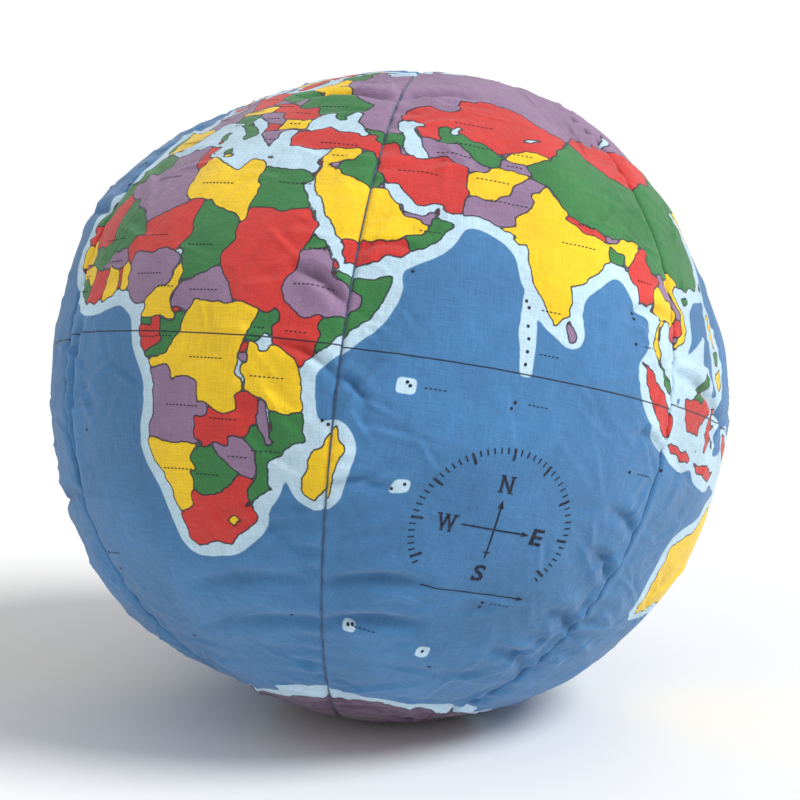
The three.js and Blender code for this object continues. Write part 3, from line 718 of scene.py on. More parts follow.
# ---------------------------------------------------------------------------------------------
# The cloth of one panel
# ---------------------------------------------------------------------------------------------
ROWS = 600
PLAIN_COLUMNS = 138
EDGE_STEPS = [0, 0.3, 0.6, 1.0, 1.5, 2.1, 2.9]  # columns this far from each seam, in mm
HALF_GAP = 0.35
SEAM_ALLOWANCE = 6.0
HEM_SHARES = (0.35, 0.7, 1.0)  # how far along the allowance each of its columns is
HEM_EASE = 30  # below this panel width in mm the hems shrink
TURN_DEPTH = 1.3
TURN_WIDTH = 0.7
PUCKER_LENGTH = 11.0
PUCKER_REACH = 8.0
WRINKLES = 170
FOLD_STRENGTH = 1.5
HALF_WIDTH = HALF_GORE * MM_PER_DEGREE


def column_places():
    """How far across a panel each column is, from -1 at one seam to 1 at the other."""
    near = 1 - np.array(EDGE_STEPS) / HALF_WIDTH
    plain = np.linspace(-near[-1], near[-1], PLAIN_COLUMNS + 2)[1:-1]
    return np.concatenate([-near, plain, near[::-1]])


def fold_height(middle, east, north):
    """The folds of one panel, in mm."""
    height = np.zeros(east.shape)
    for seam, start, run, rise, width, depth in FOLDS:
        t = np.linspace(0.03, 1, 6)
        bowed = start + rise * t + FOLD_BOW * np.sin(math.pi * t)
        points = np.stack([seam + run * t, bowed], axis=1)
        if abs(points[:, 0].mean() - middle) > HALF_GORE:
            continue
        x = (points[:, 0] - middle) * MM_PER_DEGREE * np.cos(np.radians(points[:, 1]))
        y = points[:, 1] * MM_PER_DEGREE
        steps = np.hypot(np.diff(x), np.diff(y))
        total = steps.sum()
        nearest = np.full(east.shape, 1e6)
        along = np.zeros(east.shape)
        for k, step in enumerate(steps):
            dx, dy = (x[k + 1] - x[k]) / step, (y[k + 1] - y[k]) / step
            t = np.clip((east - x[k]) * dx + (north - y[k]) * dy, 0, step)
            away = np.hypot(east - x[k] - t * dx, north - y[k] - t * dy)
            closer = away < nearest
            nearest = np.where(closer, away, nearest)
            along = np.where(closer, (steps[:k].sum() + t) / total, along)
        strength = depth * np.sqrt(np.clip(np.sin(math.pi * (0.04 + 0.92 * along)), 0, 1))
        crease = np.exp(-((nearest / width) ** 2))
        shoulder = np.exp(-(((nearest - 2.4 * width) / (1.5 * width)) ** 2))
        height += FOLD_STRENGTH * strength * (0.5 * shoulder - crease)
    return height


def wrinkle_height(middle, east, north):
    """Small pinched wrinkles, most of them running in from the seams, in mm."""
    draw = np.random.default_rng(1000 + middle)
    height = np.zeros(east.shape)
    for _ in range(WRINKLES):
        y = draw.uniform(-0.92, 0.92) * 90 * MM_PER_DEGREE
        reach = HALF_WIDTH * math.cos(y / BALL_RADIUS)
        side = draw.choice([-1, 1])
        x = side * reach * draw.uniform(0.0, 1.0) ** 0.75
        turn = draw.normal(0, 0.75)
        length = draw.uniform(14, 46)
        width = draw.uniform(0.9, 2.1)
        rise = draw.uniform(0.3, 1.15) * (0.75 + 0.5 * abs(x) / reach)
        bend = draw.normal(0, 0.006)
        dx, dy = east - x, north - y
        along = dx * math.cos(turn) + dy * math.sin(turn)
        beside = dy * math.cos(turn) - dx * math.sin(turn) - bend * along**2
        near = (np.abs(beside) < 9 * width) & (np.abs(along) < length)
        taper = np.exp(-((along[near] / (0.5 * length)) ** 2) * 1.6)
        across = beside[near] / width
        pinch = np.exp(-np.abs(across)) - 0.55 * np.exp(-((across - 2.2) / 1.7) ** 2)
        height[near] += rise * taper * pinch
    return height


def cloth_height(panel, lat, east, north):
    """How high a panel's cloth stands above the plain ball, in mm."""
    seed = PANELS[panel]
    from_seam = np.maximum(HALF_WIDTH * np.cos(np.radians(lat)) - np.abs(east), 0)
    side = np.where(east < 0, 0, 500)
    polar = np.clip((86 - np.abs(lat)) / 14, 0, 1)
    swing = smooth_noise(north, side, 17, seed + 1) * 2.4
    gather = 0.4 + 1.3 * np.sin(np.radians(np.abs(lat))) ** 1.3
    uneven = 0.55 + 0.45 * smooth_noise(north, side, 30, seed + 2)
    puckers = gather * uneven * np.sin(2 * math.pi * north / PUCKER_LENGTH + swing)
    puckers *= np.exp(-from_seam / PUCKER_REACH) * (1 - np.exp(-from_seam / 0.8)) * polar
    turn_in = -TURN_DEPTH * np.exp(-((from_seam / TURN_WIDTH) ** 1.2))
    soft = 0.9 * smooth_noise(east, north, 36, seed + 3) + 0.4 * smooth_noise(east, north, 15, seed + 4)
    soft += 0.1 * smooth_noise(east, north, 5, seed + 5)
    inner = np.clip(from_seam / 6, 0, 1) * polar
    soft += wrinkle_height(seed, east, north)
    return soft * inner + puckers + turn_in + fold_height(seed, east, north)


class Panel:
    """One panel's places, normals and printed fields, as a grid of rows and columns."""

    def __init__(self, name, settled):
        self.name = name
        self.middle = PANELS[name]
        self.print = Print(name)
        self.lat = np.linspace(-POINT_LATITUDE, POINT_LATITUDE, ROWS)
        self.across = column_places()
        across, lat = np.meshgrid(self.across, self.lat)
        half = HALF_WIDTH * np.cos(np.radians(lat))
        gap = np.minimum(HALF_GAP, half * 0.3)
        self.east = across * (half - gap)
        self.north = lat * MM_PER_DEGREE
        lon = self.middle + across * HALF_GORE * (1 - gap / half)
        height = cloth_height(name, lat, across * half, self.north)
        height += slack_height(settled, lon, lat)
        self.height = height
        self.place = on_floor(resting(lon, lat, height + lump_height(outward(lon, lat))))
        self.normal = self.find_normals()

    def find_normals(self):
        down_rows = np.gradient(self.place, axis=0)
        over_columns = np.gradient(self.place, axis=1)
        normal = np.cross(over_columns, down_rows)
        length = np.linalg.norm(normal, axis=-1, keepdims=True)
        return normal / np.maximum(length, 1e-9)

    def on_cloth(self, lon, lat, lift):
        """Places on the cloth, in mm, lifted a little off it."""
        lat = np.clip(lat, -POINT_LATITUDE, POINT_LATITUDE)
        row = (lat + POINT_LATITUDE) / (2 * POINT_LATITUDE) * (ROWS - 1)
        across = np.clip((lon - self.middle) / HALF_GORE, -0.992, 0.992)
        column = np.interp(across, self.across, np.arange(len(self.across)))
        j = np.minimum(row.astype(int), ROWS - 2)
        i = np.minimum(column.astype(int), len(self.across) - 2)
        v, u = (row - j)[:, None], (column - i)[:, None]

        def blend(grid):
            low = grid[j, i] * (1 - u) + grid[j, i + 1] * u
            high = grid[j + 1, i] * (1 - u) + grid[j + 1, i + 1] * u
            return low * (1 - v) + high * v

        return blend(self.place) + blend(self.normal) * lift

    def hems(self):
        """The seam allowances, turned in: extra columns of places for each side."""
        sides = []
        lat = self.lat
        for column, sign in ((0, -1), (-1, 1)):
            edge = self.place[:, column]
            lon = np.full(ROWS, self.middle + sign * HALF_GORE * 0.999)
            out = outward(lon, lat)
            inward = self.place[:, len(self.across) // 2] - edge
            inward -= out * (inward * out).sum(-1, keepdims=True)
            size = np.linalg.norm(inward, axis=-1, keepdims=True)
            inward = inward / np.maximum(size, 1e-6) * np.minimum(1, size / HEM_EASE)
            steps = []
            for share in HEM_SHARES:
                deep = SEAM_ALLOWANCE * share * np.clip(size / HEM_EASE, 0.12, 1)
                steps.append(on_floor(edge - out * deep + inward * 0.5 * share, 0.05 + share))
            sides.append(steps)
        return sides


# ---------------------------------------------------------------------------------------------
# Materials
# ---------------------------------------------------------------------------------------------
class Look:
    """A material being put together from nodes."""

    def __init__(self, name):
        self.material = bpy.data.materials.new(name)
        self.material.use_nodes = True
        self.tree = self.material.node_tree
        self.shader = self.tree.nodes["Principled BSDF"]

    def node(self, kind, inputs=(), **settings):
        made = self.tree.nodes.new(kind)
        for key, value in settings.items():
            setattr(made, key, value)
        for key, value in dict(inputs).items():
            self.put(made.inputs[key], value)
        return made

    def put(self, socket, value):
        if isinstance(value, bpy.types.NodeSocket):
            self.tree.links.new(value, socket)
        else:
            socket.default_value = value

    def math(self, operation, a, b=0.0):
        return self.node("ShaderNodeMath", {0: a, 1: b}, operation=operation).outputs[0]

    def ramp(self, value, low, high, out_low=0.0, out_high=1.0):
        made = self.node("ShaderNodeMapRange", {0: value, 1: low, 2: high, 3: out_low, 4: out_high})
        return made.outputs[0]

    def mix(self, factor, a, b, blend_type="MIX"):
        made = self.node("ShaderNodeMix", data_type="RGBA", blend_type=blend_type)
        self.put(made.inputs[0], factor)
        self.put(made.inputs[6], a)
        self.put(made.inputs[7], b)
        return made.outputs[2]

    def finish(self, inputs, height, strength, depth):
        """The material, with these shader inputs and a bump so many metres deep."""
        bump = self.node("ShaderNodeBump", {"Strength": strength, "Distance": depth, "Height": height})
        for name, value in {**inputs, "Normal": bump.outputs[0]}.items():
            self.put(self.shader.inputs[name], value)
        return self.material

    def noise(self, vector, scale, detail=3.0, roughness=0.55):
        sockets = {"Vector": vector, "Scale": scale, "Detail": detail, "Roughness": roughness}
        return self.node("ShaderNodeTexNoise", sockets).outputs["Fac"]

    def attribute(self, name):
        return self.node("ShaderNodeAttribute", attribute_name=name).outputs["Fac"]

    def stretched(self, vector, scale):
        return self.node("ShaderNodeMapping", {"Vector": vector, "Scale": scale}).outputs["Vector"]


def rgb(red, green, blue):
    """A colour for a shader, from ordinary 0 to 255 values."""
    linear = [((v / 255 + 0.055) / 1.055) ** 2.4 if v > 10 else v / 3295 for v in (red, green, blue)]
    return (*linear, 1)


PRINT_COLOURS = {
    "red": rgb(208, 58, 54),
    "yellow": rgb(248, 206, 34),
    "green": rgb(58, 126, 70),
    "purple": rgb(148, 120, 152),
    "plum": rgb(104, 76, 104),
}
OCEAN = rgb(70, 124, 174)
SHALLOW_SEA = rgb(192, 221, 238)
INK = rgb(34, 36, 48)
WEAVE_PITCH = 0.62
INK_LINE = 0.36
EDGE = 0.1


def printed_cotton():
    look = Look("printed_cotton")
    flat = look.node("ShaderNodeUVMap", uv_map="flat").outputs[0]
    body = look.node("ShaderNodeTexCoord").outputs["Object"]
    colour = look.mix(look.ramp(look.attribute("shelf"), -0.25, 0.25), OCEAN, SHALLOW_SEA)
    nearest = None
    for name, paint in PRINT_COLOURS.items():
        distance = look.attribute(name)
        colour = look.mix(look.ramp(distance, -EDGE, EDGE), colour, paint)
        line = look.math("ABSOLUTE", distance)
        nearest = line if nearest is None else look.math("MINIMUM", nearest, line)
    broken = look.noise(look.stretched(flat, (1.1, 1.1, 1.1)), 1.0, 2.0)
    width = look.ramp(broken, 0.3, 0.7, INK_LINE - 0.1, INK_LINE + 0.08)
    inked = look.ramp(look.math("SUBTRACT", nearest, width), EDGE, -EDGE)
    equator = look.math("ABSOLUTE", look.attribute("equator"))
    inked = look.math("MAXIMUM", inked, look.ramp(equator, 0.42, 0.26))
    # Threads: uneven yarn both ways, and dye that took a little unevenly
    yarn_one = look.noise(look.stretched(flat, (0.09, 2.4, 1)), 1.0, 3.0, 0.6)
    yarn_two = look.noise(look.stretched(flat, (2.4, 0.09, 1)), 1.0, 3.0, 0.6)
    yarn = look.math("ADD", yarn_one, yarn_two)
    dye = look.noise(body, 34.0, 6.0, 0.68)
    shade = look.math("MULTIPLY", look.ramp(yarn, 0.7, 1.3, 0.82, 1.16), look.ramp(dye, 0.3, 0.7, 0.89, 1.1))
    # Painted shade and highlight: the cloth is coloured darker in its creases and lighter on its ridges,
    # following its relief
    relief_shade = look.ramp(look.attribute("relief"), -2.2, 1.6, 0.84, 1.07)
    shade = look.math("MULTIPLY", shade, relief_shade)
    grey = look.node("ShaderNodeCombineColor", {0: shade, 1: shade, 2: shade}).outputs[0]
    colour = look.mix(1.0, look.mix(look.math("MULTIPLY", inked, 0.9), colour, INK), grey, "MULTIPLY")
    speck = look.noise(look.stretched(flat, (1.6, 1.6, 1)), 1.0, 2.0)
    colour = look.mix(look.ramp(speck, 0.68, 0.8, 0.0, 0.22), colour, rgb(220, 228, 232))
    # Plain weave, with the yarn's own unevenness and fine rumples
    parts = look.node("ShaderNodeSeparateXYZ", {0: flat}).outputs
    turns = 2 * math.pi / WEAVE_PITCH
    warp = look.math("SINE", look.math("MULTIPLY", parts[0], turns))
    weft = look.math("SINE", look.math("MULTIPLY", parts[1], turns))
    weave = look.math("MULTIPLY", look.math("MULTIPLY", warp, weft), 0.5)
    rumple = look.noise(look.stretched(flat, (0.19, 0.19, 1)), 1.0, 5.0, 0.6)
    height = look.math("ADD", look.math("MULTIPLY", weave, 0.06), look.math("MULTIPLY", yarn, 0.14))
    height = look.math("ADD", height, look.math("MULTIPLY", rumple, 1.9))
    inputs = {
        "Base Color": colour,
        "Roughness": 0.86,
        "Specular IOR Level": 0.22,
        "Sheen Weight": 0.22,
        "Sheen Roughness": 0.55,
    }
    return look.finish(inputs, height, 0.5, MM)


def map_ink():
    look = Look("map_ink")
    body = look.node("ShaderNodeTexCoord").outputs["Object"]
    patchy = look.noise(body, 700.0, 3.0, 0.6)
    colour = look.mix(look.ramp(patchy, 0.35, 0.75), rgb(28, 30, 42), rgb(66, 70, 86))
    inputs = {"Base Color": colour, "Roughness": 0.85, "Specular IOR Level": 0.2}
    return look.finish(inputs, patchy, 0.4, 0.1 * MM)


def sewing_thread():
    look = Look("sewing_thread")
    body = look.node("ShaderNodeTexCoord").outputs["Object"]
    fibres = look.noise(body, 2600.0, 3.0, 0.6)
    colour = look.mix(look.ramp(fibres, 0.3, 0.7), rgb(58, 84, 118), rgb(96, 128, 164))
    inputs = {"Base Color": colour, "Roughness": 0.7, "Sheen Weight": 0.3}
    return look.finish(inputs, fibres, 0.6, 0.1 * MM)


def fibre_wadding():
    look = Look("fibre_wadding")
    body = look.node("ShaderNodeTexCoord").outputs["Object"]
    strands = look.noise(look.stretched(body, (1, 1, 4)), 320.0, 6.0, 0.7)
    colour = look.mix(look.ramp(strands, 0.3, 0.7), rgb(232, 230, 224), rgb(250, 249, 246))
    inputs = {"Base Color": colour, "Roughness": 0.95, "Sheen Weight": 0.5}
    return look.finish(inputs, strands, 0.8, MM)


# ---------------------------------------------------------------------------------------------
# Pieces
# ---------------------------------------------------------------------------------------------
def make_piece(name, places, faces, material):
    """An object from places in mm."""
    mesh = bpy.data.meshes.new(name)
    mesh.from_pydata(np.asarray(places) * MM, [], faces)
    mesh.materials.append(material)
    mesh.polygons.foreach_set("use_smooth", np.full(len(mesh.polygons), True))
    mesh.update()
    piece = bpy.data.objects.new(name, mesh)
    bpy.context.collection.objects.link(piece)
    return piece


def make_panel(panel, material, ink_layer):
    left, right = panel.hems()
    columns = [*left[::-1], *[panel.place[:, i] for i in range(len(panel.across))], *right]
    extra = len(left)
    places = np.stack(columns, 1)
    rows, width = places.shape[:2]
    piece = make_piece(panel.name + "_cloth", places.reshape(-1, 3), grid_faces(rows, width), material)

    hem_reach = SEAM_ALLOWANCE * np.array(HEM_SHARES)
    east = np.concatenate(
        [panel.east[:, :1] - hem_reach[::-1], panel.east, panel.east[:, -1:] + hem_reach], axis=1
    )
    north = np.repeat(panel.north[:, :1], width, axis=1)
    _, slip_north = PRINT_SLIP[panel.name]
    fields = {name: panel.print.at(name, east, north) for name in panel.print.fields}
    fields["equator"] = north - (slip_north + EQUATOR_LATITUDE) * MM_PER_DEGREE
    flat_relief = np.pad(panel.height, ((0, 0), (extra, extra)), mode="edge")
    fields["relief"] = flat_relief
    for name, values in fields.items():
        layer = piece.data.attributes.new(name, "FLOAT", "POINT")
        layer.data.foreach_set("value", values.astype(np.float32).ravel())
    uv = piece.data.uv_layers.new(name="flat")
    corner = np.empty(len(piece.data.loops), np.int32)
    piece.data.loops.foreach_get("vertex_index", corner)
    flat = np.stack([east.ravel(), north.ravel()], -1)[corner]
    uv.data.foreach_set("uv", flat.astype(np.float32).ravel())

    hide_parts(panel.name)
    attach(piece, "root")
    flat_width = (2 * HALF_WIDTH + 2 * SEAM_ALLOWANCE) * MM
    flat_length = (180 * MM_PER_DEGREE + 2 * SEAM_ALLOWANCE) * MM
    flat = (flat_width, flat_length)
    return piece


def cut_fine(mesh, step):
    """Cuts a flat mesh along a square grid, so that it can follow a curved surface."""
    for axis in (0, 1):
        values = [v.co[axis] for v in mesh.verts]
        first, last = math.floor(min(values) / step) + 1, math.ceil(max(values) / step)
        for k in range(first, last):
            point, normal = Vector((0, 0, 0)), Vector((0, 0, 0))
            point[axis] = k * step
            normal[axis] = 1
            geometry = [*mesh.verts, *mesh.edges, *mesh.faces]
            bmesh.ops.bisect_plane(mesh, geom=geometry, plane_co=point, plane_no=normal)


def letter_shapes(letter):
    """The flat outline of a capital, with a cap height of one, as a mesh."""
    curve = bpy.data.curves.new("letter", "FONT")
    curve.body = letter
    curve.size = 1 / CAP_HEIGHT
    curve.resolution_u = 3
    curve.offset = 0.028
    curve.space_character = 1.08
    holder = bpy.data.objects.new("letter", curve)
    bpy.context.collection.objects.link(holder)
    bpy.context.view_layer.update()
    mesh = bpy.data.meshes.new_from_object(holder.evaluated_get(bpy.context.evaluated_depsgraph_get()))
    bpy.data.objects.remove(holder)
    bpy.data.curves.remove(curve)
    shapes = bmesh.new()
    shapes.from_mesh(mesh)
    bpy.data.meshes.remove(mesh)
    bmesh.ops.remove_doubles(shapes, verts=shapes.verts, dist=1e-5)
    return shapes


def add_serifs(shapes):
    """Short feet and heads where the upright strokes of big letters end."""
    ends = []
    for edge in shapes.edges:
        one, two = (v.co for v in edge.verts)
        for level in (0.0, 1.0):
            if max(abs(one.y - level), abs(two.y - level)) < 0.05 and edge.calc_length() < SERIF_STROKE:
                ends.append(((one.x + two.x) / 2, one.y, edge.calc_length(), level))
    for x, y, stroke, level in ends:
        half = stroke / 2 + SERIF_OVERHANG
        inward = SERIF_HEIGHT if level == 0 else -SERIF_HEIGHT
        corners = [(x - half, y), (x + half, y), (x + half, y + inward), (x - half, y + inward)]
        shapes.faces.new([shapes.verts.new((px, py, 0)) for px, py in corners])


SERIF_STROKE = 0.3
SERIF_OVERHANG = 0.11
SERIF_HEIGHT = 0.075
LETTER_LIFT = 0.16
ISLAND_RADIUS = 0.75
FINE_STEP = 1.3


class InkLayer:
    """Dots, dashes and drawn lines on one panel, as thin shapes lying on its cloth."""

    def __init__(self, panel):
        self.panel = panel
        self.places = []
        self.faces = []

    def add(self, shapes, lon, lat, turn=0.0):
        """Puts flat shapes, in mm, with their origin at a place, turned anticlockwise."""
        cut_fine(shapes, FINE_STEP)
        bmesh.ops.triangulate(shapes, faces=shapes.faces)
        flat = np.array([v.co[:2] for v in shapes.verts])
        c, s = math.cos(turn), math.sin(turn)
        x, y = flat[:, 0] * c - flat[:, 1] * s, flat[:, 0] * s + flat[:, 1] * c
        lats = lat + y / MM_PER_DEGREE
        narrowing = math.cos(math.radians(lat + y.mean() / MM_PER_DEGREE))
        lons = lon + x / MM_PER_DEGREE / narrowing
        shapes.verts.index_update()
        start = len(self.places)
        self.places.extend(self.panel.on_cloth(lons, lats, LETTER_LIFT))
        self.faces.extend([start + v.index for v in face.verts] for face in shapes.faces)
        shapes.free()

    def letter(self, letter, width, lon, lat):
        """A capital of a width in mm, with its middle at a place."""
        shapes = letter_shapes(letter)
        add_serifs(shapes)
        left = min(v.co.x for v in shapes.verts)
        right = max(v.co.x for v in shapes.verts)
        half = width / 2 / MM_PER_DEGREE / math.cos(math.radians(lat))
        base = lat - LETTER_CAP / 2 / MM_PER_DEGREE
        stretch = 2 * half * MM_PER_DEGREE * math.cos(math.radians(base)) / (right - left)
        for v in shapes.verts:
            v.co = Vector(((v.co.x - left) * stretch, v.co.y * LETTER_CAP, 0))
        self.add(shapes, lon - half, base)

    def bar(self, lon, lat, length, width, turn=0.0, head=0.0):
        """A drawn line from a place, with an arrowhead if head is its length."""
        outline = [(0, -width / 2), (length - head, -width / 2)]
        if head:
            outline += [(length - head, -head / 3), (length, 0), (length - head, head / 3)]
        outline += [(length - head, width / 2), (0, width / 2)]
        shapes = bmesh.new()
        shapes.faces.new([shapes.verts.new((x, y, 0)) for x, y in outline])
        self.add(shapes, lon, lat, turn)

    def around(self, lon, lat, radius, bearing):
        x, y = radius * math.cos(bearing), radius * math.sin(bearing)
        north = lat + y / MM_PER_DEGREE
        return lon + x / MM_PER_DEGREE / math.cos(math.radians(north)), north

    def dashes(self, lon, lat, count):
        """A plain row of dashes in place of a name, left out where it would reach a seam."""
        gap = (lon - self.panel.middle + 180) % 360 - 180
        room = (HALF_GORE - abs(gap)) * MM_PER_DEGREE * math.cos(math.radians(lat))
        if room < count * DASH_PITCH / 2 + DASH_CLEARANCE:
            return
        for k in range(count):
            shift = (k - count / 2) * DASH_PITCH / MM_PER_DEGREE / math.cos(math.radians(lat))
            self.bar(self.panel.middle + gap + shift, lat, DASH, DASH_WIDTH)

    def names(self):
        """A row of dashes in the middle of each country that has room for one."""
        for _, text in COUNTRIES:
            points = as_drawn(read_outline(text))
            lon, lat = points.mean(axis=0)
            width = np.ptp(points[:, 0]) * MM_PER_DEGREE * math.cos(math.radians(lat))
            count = min(int(width / DASH_PITCH / 2), MOST_DASHES)
            if count > 2:
                self.dashes(lon, lat, count)

    def islands(self):
        """A dot for each island too small to have a shape, and dashes beside every third."""
        for k, (lon, lat) in enumerate(read_outline(ISLANDS)):
            gap = (lon - self.panel.middle + 180) % 360 - 180
            if abs(gap) < HALF_GORE:
                shapes = bmesh.new()
                bmesh.ops.create_circle(shapes, cap_ends=True, segments=9, radius=ISLAND_RADIUS)
                self.add(shapes, self.panel.middle + gap, lat)
                if k % ISLANDS_NAMED == 0:
                    self.dashes(lon + ISLAND_DASHES_EAST, lat, ISLAND_DASHES)

    def compass(self):
        lon, lat = COMPASS
        south, west = -math.pi / 2, math.pi
        arrow_north = self.around(lon, lat, NORTH_ARROW_TAIL, south)
        arrow_east = self.around(lon, lat, EAST_ARROW_TAIL, west)
        self.bar(*arrow_north, NORTH_ARROW_LENGTH, ARROW_WIDTH, math.pi / 2, head=ARROW_HEAD)
        self.bar(*arrow_east, EAST_ARROW_LENGTH, ARROW_WIDTH, 0.0, head=ARROW_HEAD)
        foot = self.around(lon, lat, FOOT_RADIUS, south - FOOT_TURN)
        self.bar(*foot, FOOT_LENGTH, SHORT_TICK[1], 0.0)
        for letter, bearing, width in COMPASS_LETTERS:
            at_lon, at_lat = self.around(lon, lat, LETTER_RADIUS, math.radians(bearing))
            self.letter(letter, width, at_lon, at_lat)
        for k in TICKS:
            bearing = math.radians(TICK_STEP * k)
            length, width = LONG_TICK if k % LONG_TICK_EVERY == 0 else SHORT_TICK
            start = self.around(lon, lat, COMPASS_RING - length, bearing)
            self.bar(*start, length, width, bearing)

    def piece(self, material):
        piece = make_piece(self.panel.name + "_ink", self.places, self.faces, material)
        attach(piece, "root")
        return piece


def make_ink(panel, material):
    ink = InkLayer(panel)
    ink.islands()
    ink.names()
    if panel.name == "panel_india":
        ink.compass()
        west, east, lat = ROTATION_ARROW
        length = (east - west) * MM_PER_DEGREE * math.cos(math.radians(lat))
        ink.bar(west, lat, length, ROTATION_ARROW_WIDTH, 0.0, head=ROTATION_ARROW_HEAD)
    return ink.piece(material)


# ---------------------------------------------------------------------------------------------
# Stitching and fill
# ---------------------------------------------------------------------------------------------
TUBE_SIDES = 6
STITCH_RADII = [0.20, 0.33, 0.35, 0.30]  # along one stitch
THREAD_DEPTH = 0.25
WHIP_PITCH = 3.0
WHIP_RADIUS = 0.33
WHIP_REACH = 1.5


def seam_line(panels, lon):
    """The middle of the seam at a longitude: places and directions out, by rows."""
    middles = {panel.middle % 360: panel for panel in panels.values()}
    west = middles[(lon - HALF_GORE) % 360]
    east = middles[(lon + HALF_GORE) % 360]
    place = (west.place[:, -1] + east.place[:, 0]) / 2
    return place, outward(np.full(ROWS, float(lon)), west.lat), west.lat


def tube(path, radii):
    """Places and faces of a round thread along a path."""
    along = np.gradient(path, axis=0)
    along /= np.linalg.norm(along, axis=1, keepdims=True)
    guide = path - path.mean(0) + [0, 0, 400]
    side = np.cross(along, guide)
    side /= np.linalg.norm(side, axis=1, keepdims=True)
    up = np.cross(side, along)
    angle = np.arange(TUBE_SIDES) / TUBE_SIDES * 2 * math.pi
    ring = side[:, None] * np.cos(angle)[:, None] + up[:, None] * np.sin(angle)[:, None]
    places = path[:, None] + ring * np.asarray(radii)[:, None, None]
    faces = grid_faces(len(path), TUBE_SIDES, wrap=True)
    last = len(path) * TUBE_SIDES
    faces.append(list(range(TUBE_SIDES))[::-1])
    faces.append(list(range(last - TUBE_SIDES, last)))
    return places.reshape(-1, 3), faces


def make_seam_thread(name, panels, material):
    lon, south, north = THREADS[name]
    place, out, lat = seam_line(panels, lon)
    kept = (lat > south) & (lat < north)
    path = on_floor(place[kept] - out[kept] * THREAD_DEPTH, max(STITCH_RADII))
    radii = [STITCH_RADII[k % len(STITCH_RADII)] for k in range(len(path))]
    places, faces = tube(path, radii)
    piece = make_piece(name + "_stitches", places, faces, material)
    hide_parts(name)
    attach(piece, "root")
    return piece


def make_closing_stitches(panels, material):
    """Hand whip stitches over the opening that the ball was filled through."""
    lon, south, north = OPENING
    place, out, lat = seam_line(panels, lon)
    length = (north - south) * MM_PER_DEGREE
    turns = round(length / WHIP_PITCH)
    steps = turns * 14
    at = np.linspace(south, north, steps)
    path = np.stack([np.interp(at, lat, place[:, k]) for k in range(3)], 1)
    up = np.stack([np.interp(at, lat, out[:, k]) for k in range(3)], 1)
    along = np.gradient(path, axis=0)
    along /= np.linalg.norm(along, axis=1, keepdims=True)
    side = np.cross(along, up)
    angle = np.linspace(0, turns * 2 * math.pi, steps)[:, None]
    path = path + side * np.cos(angle) * WHIP_REACH + up * (np.sin(angle) * 1.0 + 0.5)
    places, faces = tube(path, np.full(steps, WHIP_RADIUS))
    piece = make_piece("closing_whip_stitches", places, faces, material)
    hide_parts("closing_thread")
    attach(piece, "root")
    return piece


FILL_DEPTH = 5.0
FILL_GROOVE = 7.0
FILL_COLUMNS = 144
FILL_ROWS = 90


def make_fill(material):
    """The wadding inside: a closed lumpy ball, grooved where the seam allowances lie."""
    lat_line = np.linspace(-87, 87, FILL_ROWS)
    lon_line = np.arange(FILL_COLUMNS) / FILL_COLUMNS * 360 + FIRST_SEAM
    lon, lat = np.meshgrid(lon_line, lat_line)
    across = np.abs((lon - FIRST_SEAM + HALF_GORE) % (2 * HALF_GORE) - HALF_GORE)
    from_seam = across * MM_PER_DEGREE * np.cos(np.radians(lat))
    depth = FILL_DEPTH + FILL_GROOVE * np.exp(-((from_seam / 5) ** 2))
    turns = np.radians(lon)
    lumpy = 0.5 * smooth_noise(np.cos(turns) * 60 + lat, np.sin(turns) * 60 - lat, 9, 77)
    height = lump_height(outward(lon, lat)) - depth + lumpy * 0.6
    places = on_floor(resting(lon, lat, height), FILL_DEPTH / 2).reshape(-1, 3)
    bottom, top = places[:FILL_COLUMNS].mean(0), places[-FILL_COLUMNS:].mean(0)
    faces = grid_faces(FILL_ROWS, FILL_COLUMNS, wrap=True)
    first_pole = len(places)
    last_row = first_pole - FILL_COLUMNS
    for k in range(FILL_COLUMNS):
        beside = (k + 1) % FILL_COLUMNS
        faces.append([first_pole, beside, k])
        faces.append([first_pole + 1, last_row + k, last_row + beside])
    piece = make_piece("fibre_wadding", np.vstack([places, bottom, top]), faces, material)
    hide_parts("fibre_fill")
    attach(piece, "root")
    return piece


# ---------------------------------------------------------------------------------------------
# Floor, light and camera
# ---------------------------------------------------------------------------------------------
CAMERA_ELEVATION = 10
CAMERA_DISTANCE = 7 * BALL_RADIUS
LENS = 104.3
CAMERA_SHIFT = (0.0125, -0.008)
FLOOR_HALF = 80.0  # metres
FLOOR_DROP = 0.0004  # metres below the ball's foot
FLOOR_GREY = 0.93
SKY_STRENGTH = 0.6
SUN_STRENGTH, SUN_SPREAD = 2.3, 24
TOWARDS_BALL = (-1.15, 0.5, -1.3)


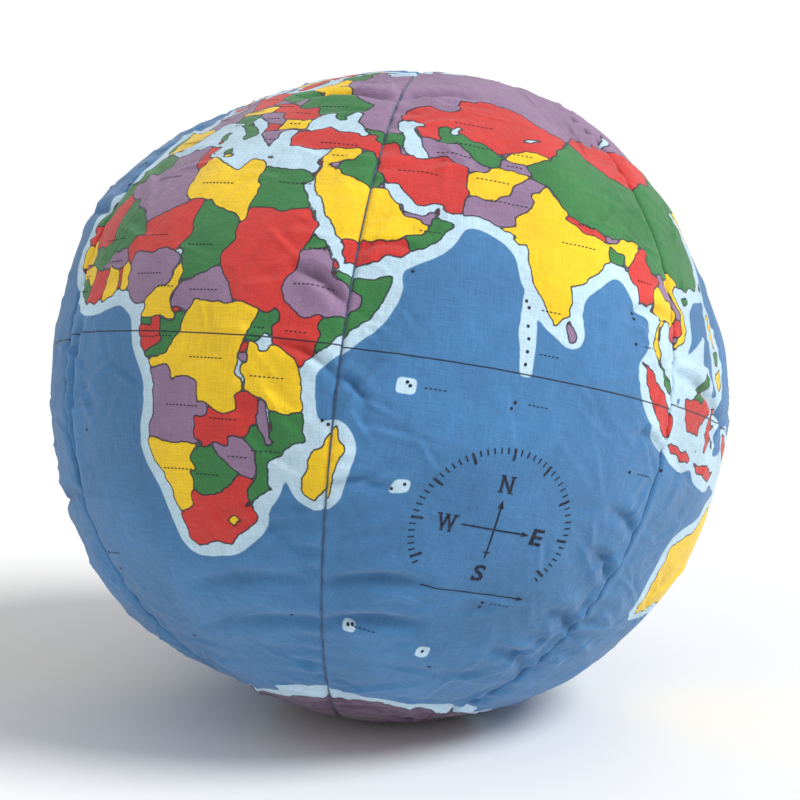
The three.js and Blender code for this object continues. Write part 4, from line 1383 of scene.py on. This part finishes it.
def make_floor():
    look = Look("pale_floor")
    look.put(look.shader.inputs["Base Color"], (FLOOR_GREY, FLOOR_GREY, FLOOR_GREY, 1))
    look.put(look.shader.inputs["Roughness"], 0.9)
    half = FLOOR_HALF
    mesh = bpy.data.meshes.new("floor")
    corners = [(-half, -half, 0), (half, -half, 0), (half, half, 0), (-half, half, 0)]
    mesh.from_pydata(corners, [], [(0, 1, 2, 3)])
    mesh.materials.append(look.material)
    floor = bpy.data.objects.new("floor", mesh)
    floor.location.z = -FLOOR_DROP
    bpy.context.collection.objects.link(floor)


def make_light():
    world = bpy.data.worlds.new("studio")
    world.use_nodes = True
    world.node_tree.nodes["Background"].inputs["Color"].default_value = (1, 1, 1, 1)
    world.node_tree.nodes["Background"].inputs["Strength"].default_value = SKY_STRENGTH
    bpy.context.scene.world = world
    lamp = bpy.data.lights.new("key", "SUN")
    lamp.energy = SUN_STRENGTH
    lamp.angle = math.radians(SUN_SPREAD)
    light = bpy.data.objects.new("key", lamp)
    light.rotation_euler = Vector(TOWARDS_BALL).to_track_quat("-Z", "Y").to_euler()
    bpy.context.collection.objects.link(light)


def make_camera():
    camera = bpy.data.objects.new("camera", bpy.data.cameras.new("camera"))
    rise = math.radians(CAMERA_ELEVATION)
    camera.location = (
        0,
        -CAMERA_DISTANCE * math.cos(rise) * MM,
        (CENTRE_HEIGHT + CAMERA_DISTANCE * math.sin(rise)) * MM,
    )
    camera.rotation_euler = (math.pi / 2 - rise, 0, 0)
    camera.data.lens = LENS
    camera.data.shift_x, camera.data.shift_y = CAMERA_SHIFT
    bpy.context.collection.objects.link(camera)
    bpy.context.scene.camera = camera
    bpy.context.scene.view_settings.view_transform = "Standard"


cotton, ink, thread, wadding = printed_cotton(), map_ink(), sewing_thread(), fibre_wadding()
settled = settle_slack()
panels = {name: Panel(name, settled) for name in PANELS}
for panel in panels.values():
    make_panel(panel, cotton, make_ink(panel, ink))
for name in THREADS:
    make_seam_thread(name, panels, thread)
make_closing_stitches(panels, thread)
make_fill(wadding)
make_floor()
make_light()
make_camera()
